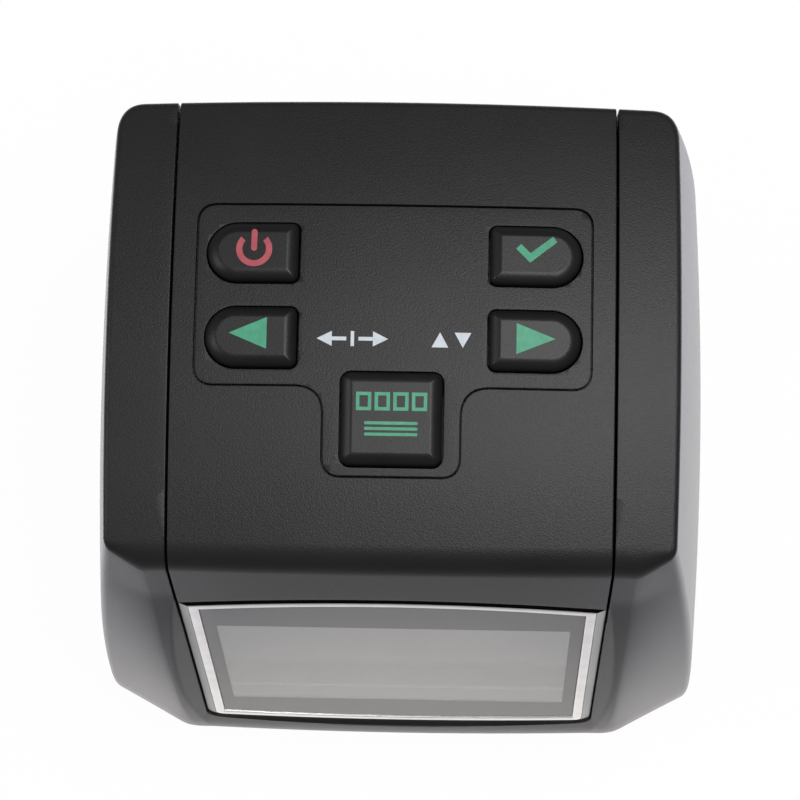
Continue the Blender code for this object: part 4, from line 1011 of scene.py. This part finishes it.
def roundedPlate(name, halfX, halfY, radius, low, high, y=0):
    points = []
    for turn, (sideways, upwards) in enumerate(((1, -1), (1, 1), (-1, 1), (-1, -1))):
        for step in range(5):
            angle = (turn - 1 + step / 4) * pi / 2
            points.append((
                sideways * (halfX - radius) + radius * cos(angle),
                y + upwards * (halfY - radius) + radius * sin(angle),
            ))
    return flatPrism(name, points, low, high)


def makeDisplay():
    rim, topRim, fit = screen["rim"], screen["topRim"], form["fit"]
    outside, topGap = rim + screen["trimGap"], topRim + screen["trimGap"]
    inside = outside + screen["trimWidth"]
    topInside = topGap + screen["trimWidth"]
    # the frame: its bevel shows outside the silver ring
    frameSolid = wholeLoft("bezel", [
        [(p.x, p.y, height) for p in screenOutline(inset - screen["grow"], topInset)]
        for inset, topInset, height in (
            (0, 0, -screen["thickness"]), (0, 0, -0.00055), (rim * 0.05, topRim * 0.05, -0.00044),
            (rim * 0.12, topRim * 0.12, -0.00036), (rim * 0.92, topRim * 0.92, -0.00004), (rim, topRim, 0),
        )
    ])
    rightWayOut(frameSolid)
    combine(frameSolid, roundedPlate("lcdOpening", screen["lcdX"] + fit, screen["lcdY"] + fit, 0.001, -0.02, 0.02))
    seat = -screen["trimDepth"] - fit
    rebate = flatPrism("rebate", screenOutline(rim, topRim), seat, 0.01)
    combine(frameSolid, rebate)
    frameSolid.name = "displayBezel"
    rightWayOut(frameSolid)
    sides = [face.index for face in frameSolid.data.polygons if abs(face.normal.z) < 0.2 or face.normal.y > 0.4]
    leaned(frameSolid)
    smoothed(frameSolid, 25)
    dress(frameSolid, "bezelGrey", replaced=("display_bezel",))
    # the frame's sides get painted shade: near-black with no gloss, so that the line around the display reads as a dark
    # shadowed gap
    frameSolid.data.materials.append(materials["paintedShadeBlack"])
    for index in sides:
        frameSolid.data.polygons[index].material_index = 1

    proud, low = screen["trimProud"], -screen["trimDepth"]
    trim = ringLoft("displayTrim", (
        (outside, topGap, low), (outside, topGap, 0), (outside + 0.00008, topGap + 0.00008, proud * 0.7),
        (outside + 0.00022, topGap + 0.00022, proud), (inside - 0.00030, topInside - 0.00030, proud),
        (inside - 0.00010, topInside - 0.00010, proud * 0.6), (inside, topInside, 0), (inside, topInside, low),
    ))
    smoothed(trim, 25)
    dress(trim, "trimSilver", replaced=("display_trim",))

    paneTop = -screen["glassSink"]
    paneLow = paneTop - screen["glassThickness"]
    edgeIn, edgeTop = inside + screen["glassGap"], topInside + screen["glassGap"]
    paneShape = wholeLoft("displayWindow", [
        [(p.x, p.y, height) for p in screenOutline(edgeIn + inset, edgeTop + inset)]
        for inset, height in ((0, paneLow), (0, paneTop - 0.00008), (0.00008, paneTop))
    ])
    rightWayOut(paneShape)
    leaned(paneShape)
    smoothed(paneShape, 25)
    dress(paneShape, "windowClear", replaced=("display_window",))

    # the dark border printed inside the window's pane
    border = flatPrism("windowBorder", screenOutline(edgeIn + 0.00005, edgeTop + 0.00005), paneLow + 0.0001, paneLow + 0.0002)
    combine(border, roundedPlate("clear", screen["clearX"], screen["clearY"], 0.0003, -0.01, 0.01))
    leaned(border)
    smoothed(border, 25)
    dress(border, "borderPrint")

    lcdTop = paneLow - fit
    lcd = roundedPlate("lcdPanel", screen["lcdX"], screen["lcdY"], 0.0006, -screen["thickness"], lcdTop)
    leaned(lcd)
    smoothed(lcd, 25)
    dress(lcd, "lcdPale", replaced=("lcd_panel",))


makeDisplay()
print("display made")


# carried-over parts get their finishes

nodeFinish = dict(
    key_board="boardGreen", main_board="boardGreen", sensor_board="boardGreen",
    lcd_backlight="innerWhite", base_plate="innerBlack", light_box="innerWhite", led_board="innerWhite",
    backlight_led="ledYellow", diffuser="innerWhite", lower_film_guide="innerBlack",
    upper_film_guide="innerBlack", lens_holder="innerBlack", lens_barrel="innerBlack",
    front_lens="lensGlass", rear_lens="lensGlass", image_sensor="sensorDark",
    usb_socket="steel", card_socket="steel", av_jack="innerBlack",
)
for name in keyPlaces:
    nodeFinish[name + "_plunger"] = "innerWhite"
    nodeFinish[name + "_switch"] = "innerBlack"
for corner in ("front_left", "front_right", "back_left", "back_right"):
    nodeFinish["foot_" + corner] = "footRubber"
    nodeFinish["base_screw_" + corner] = "steel"
for nodeName, finish in nodeFinish.items():
    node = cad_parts[nodeName]
    for materialSlot in node.material_slots:
        materialSlot.material = materials[finish]
print("finishes given to", len(nodeFinish), "carried-over parts")


# floor, light and camera

stageSet = dict(
    floorSize=3.0, floorColour=(0.86, 0.86, 0.86), cameraWhite=0.97, glossyWhite=1.0, nearColour=(1.0, 0.975, 0.965), farColour=(0.96, 0.95, 1.02),
    # each glow is (from, to, strength at from, strength at to), in metres from the object's middle
    frontGlow=(0.050, 0.100, 1.0, 0.5), cornerGlow=(0.066, 0.104, 1.85, 0.62), wallGlow=2.3,
    cornerX=(0.030, 0.046), wallY=(-0.054, -0.040), distance=(0.10, 0.30, 1.0, 0.25),
)


def makeStage():
    pickNothing()
    bpy.ops.mesh.primitive_plane_add(size=stageSet["floorSize"], location=(0, 0, 0))
    floor = bpy.context.object
    floor.name = "floor"
    made, tree, shader = newMaterial("paleFloor")
    shader.inputs["Base Color"].default_value = (*stageSet["floorColour"], 1)
    shader.inputs["Roughness"].default_value = 0.9
    shader.inputs["Specular IOR Level"].default_value = 0.1
    path = tree.nodes.new("ShaderNodeLightPath")
    glow = tree.nodes.new("ShaderNodeEmission")
    glow.inputs["Color"].default_value = (1, 1, 1, 1)
    place = tree.nodes.new("ShaderNodeTexCoord")
    away = tree.nodes.new("ShaderNodeVectorMath")
    away.operation = "LENGTH"
    tree.links.new(place.outputs["Object"], away.inputs[0])

    def faded(source, low, high, atLow, atHigh):
        fade = tree.nodes.new("ShaderNodeMapRange")
        fade.interpolation_type = "SMOOTHSTEP"
        for name, value in (("From Min", low), ("From Max", high), ("To Min", atLow), ("To Max", atHigh)):
            fade.inputs[name].default_value = value
        tree.links.new(source, fade.inputs["Value"])
        return fade.outputs["Result"]

    def mixed(share, first, second):
        blend = tree.nodes.new("ShaderNodeMix")
        tree.links.new(share, blend.inputs["Factor"])
        tree.links.new(first, blend.inputs["A"])
        if isinstance(second, float):
            blend.inputs["B"].default_value = second
        else:
            tree.links.new(second, blend.inputs["B"])
        return blend.outputs["Result"]

    # the floor shines most beside the walls, less before the corners and least before the display
    radius = away.outputs["Value"]
    apart = tree.nodes.new("ShaderNodeSeparateXYZ")
    tree.links.new(place.outputs["Object"], apart.inputs["Vector"])
    aside = tree.nodes.new("ShaderNodeMath")
    aside.operation = "ABSOLUTE"
    tree.links.new(apart.outputs["X"], aside.inputs[0])
    front = faded(radius, *stageSet["frontGlow"])
    corner = faded(radius, *stageSet["cornerGlow"])
    before = mixed(faded(aside.outputs["Value"], *stageSet["cornerX"], 0, 1), front, corner)
    around = mixed(faded(apart.outputs["Y"], *stageSet["wallY"], 0, 1), before, stageSet["wallGlow"])
    dimmed = tree.nodes.new("ShaderNodeMath")
    dimmed.operation = "MULTIPLY"
    tree.links.new(around, dimmed.inputs[0])
    tree.links.new(faded(radius, *stageSet["distance"]), dimmed.inputs[1])
    tint = tree.nodes.new("ShaderNodeMix")
    tint.data_type = "RGBA"
    tint.inputs["A"].default_value = (*stageSet["nearColour"], 1)
    tint.inputs["B"].default_value = (*stageSet["farColour"], 1)
    tree.links.new(faded(radius, 0.065, 0.085, 0, 1), tint.inputs["Factor"])
    toned = tree.nodes.new("ShaderNodeMix")
    toned.data_type = "RGBA"
    toned.inputs["A"].default_value = (1, 1, 1, 1)
    tree.links.new(path.outputs["Is Glossy Ray"], toned.inputs["Factor"])
    tree.links.new(tint.outputs[2], toned.inputs["B"])
    tree.links.new(toned.outputs[2], glow.inputs["Color"])
    strength = tree.nodes.new("ShaderNodeMix")
    strength.inputs["A"].default_value = 1
    tree.links.new(path.outputs["Is Glossy Ray"], strength.inputs["Factor"])
    tree.links.new(dimmed.outputs["Value"], strength.inputs["B"])
    tree.links.new(strength.outputs["Result"], glow.inputs["Strength"])
    seen = tree.nodes.new("ShaderNodeMath")
    seen.operation = "MULTIPLY"
    seen.inputs[1].default_value = stageSet["cameraWhite"]
    tree.links.new(path.outputs["Is Camera Ray"], seen.inputs[0])
    mirrored = tree.nodes.new("ShaderNodeMath")
    mirrored.operation = "MULTIPLY"
    mirrored.inputs[1].default_value = stageSet["glossyWhite"]
    tree.links.new(path.outputs["Is Glossy Ray"], mirrored.inputs[0])
    share = tree.nodes.new("ShaderNodeMath")
    share.operation = "MAXIMUM"
    tree.links.new(seen.outputs["Value"], share.inputs[0])
    tree.links.new(mirrored.outputs["Value"], share.inputs[1])
    mix = tree.nodes.new("ShaderNodeMixShader")
    tree.links.new(share.outputs["Value"], mix.inputs["Fac"])
    tree.links.new(shader.outputs["BSDF"], mix.inputs[1])
    tree.links.new(glow.outputs["Emission"], mix.inputs[2])
    tree.links.new(mix.outputs["Shader"], tree.nodes["Material Output"].inputs["Surface"])
    floor.data.materials.append(made)


def makeLamp(name, location, aim, size, power, sizeY=None):
    data = bpy.data.lights.new(name, "AREA")
    data.shape = "RECTANGLE"
    data.size = size
    data.size_y = sizeY or size
    data.energy = power
    lamp = bpy.data.objects.new(name, data)
    bpy.context.scene.collection.objects.link(lamp)
    lamp.location = location
    lamp.rotation_euler = (Vector(aim) - Vector(location)).to_track_quat("-Z", "Y").to_euler()
    return lamp


def makeLight():
    world = bpy.data.worlds.new("studio")
    bpy.context.scene.world = world
    world.use_nodes = True
    tree = world.node_tree
    ground = tree.nodes["Background"]
    ground.inputs["Color"].default_value = (1, 1, 1, 1)
    ground.inputs["Strength"].default_value = 0.14
    white = tree.nodes.new("ShaderNodeBackground")
    white.inputs["Strength"].default_value = 1
    path = tree.nodes.new("ShaderNodeLightPath")
    mix = tree.nodes.new("ShaderNodeMixShader")
    tree.links.new(path.outputs["Is Camera Ray"], mix.inputs["Fac"])
    tree.links.new(ground.outputs["Background"], mix.inputs[1])
    tree.links.new(white.outputs["Background"], mix.inputs[2])
    tree.links.new(mix.outputs["Shader"], tree.nodes["World Output"].inputs["Surface"])
    makeLamp("overheadLamp", (0.25, 0.0, 1.1), (0, 0, 0.05), 0.8, 11, 0.55)
    makeLamp("leftLamp", (-0.9, -0.1, 0.7), (0, 0, 0.05), 0.5, 3.2)


def makeCamera():
    data = bpy.data.cameras.new("camera")
    data.sensor_width = 36
    data.lens = 137.66
    camera = bpy.data.objects.new("camera", data)
    bpy.context.scene.collection.objects.link(camera)
    right = Vector((0.9996, 0.01941, -0.02055))
    back = Vector((0.02334, -0.15635, 0.98743)).normalized()
    up = back.cross(right).normalized()
    right = up.cross(back).normalized()
    turn = Matrix((right, up, back)).transposed().to_4x4()
    camera.matrix_world = Matrix.Translation((0.01044, -0.06671, 0.49573)) @ turn
    bpy.context.scene.camera = camera


makeStage()
makeLight()
makeCamera()
bpy.context.scene.view_settings.view_transform = "Standard"
print("stage set")
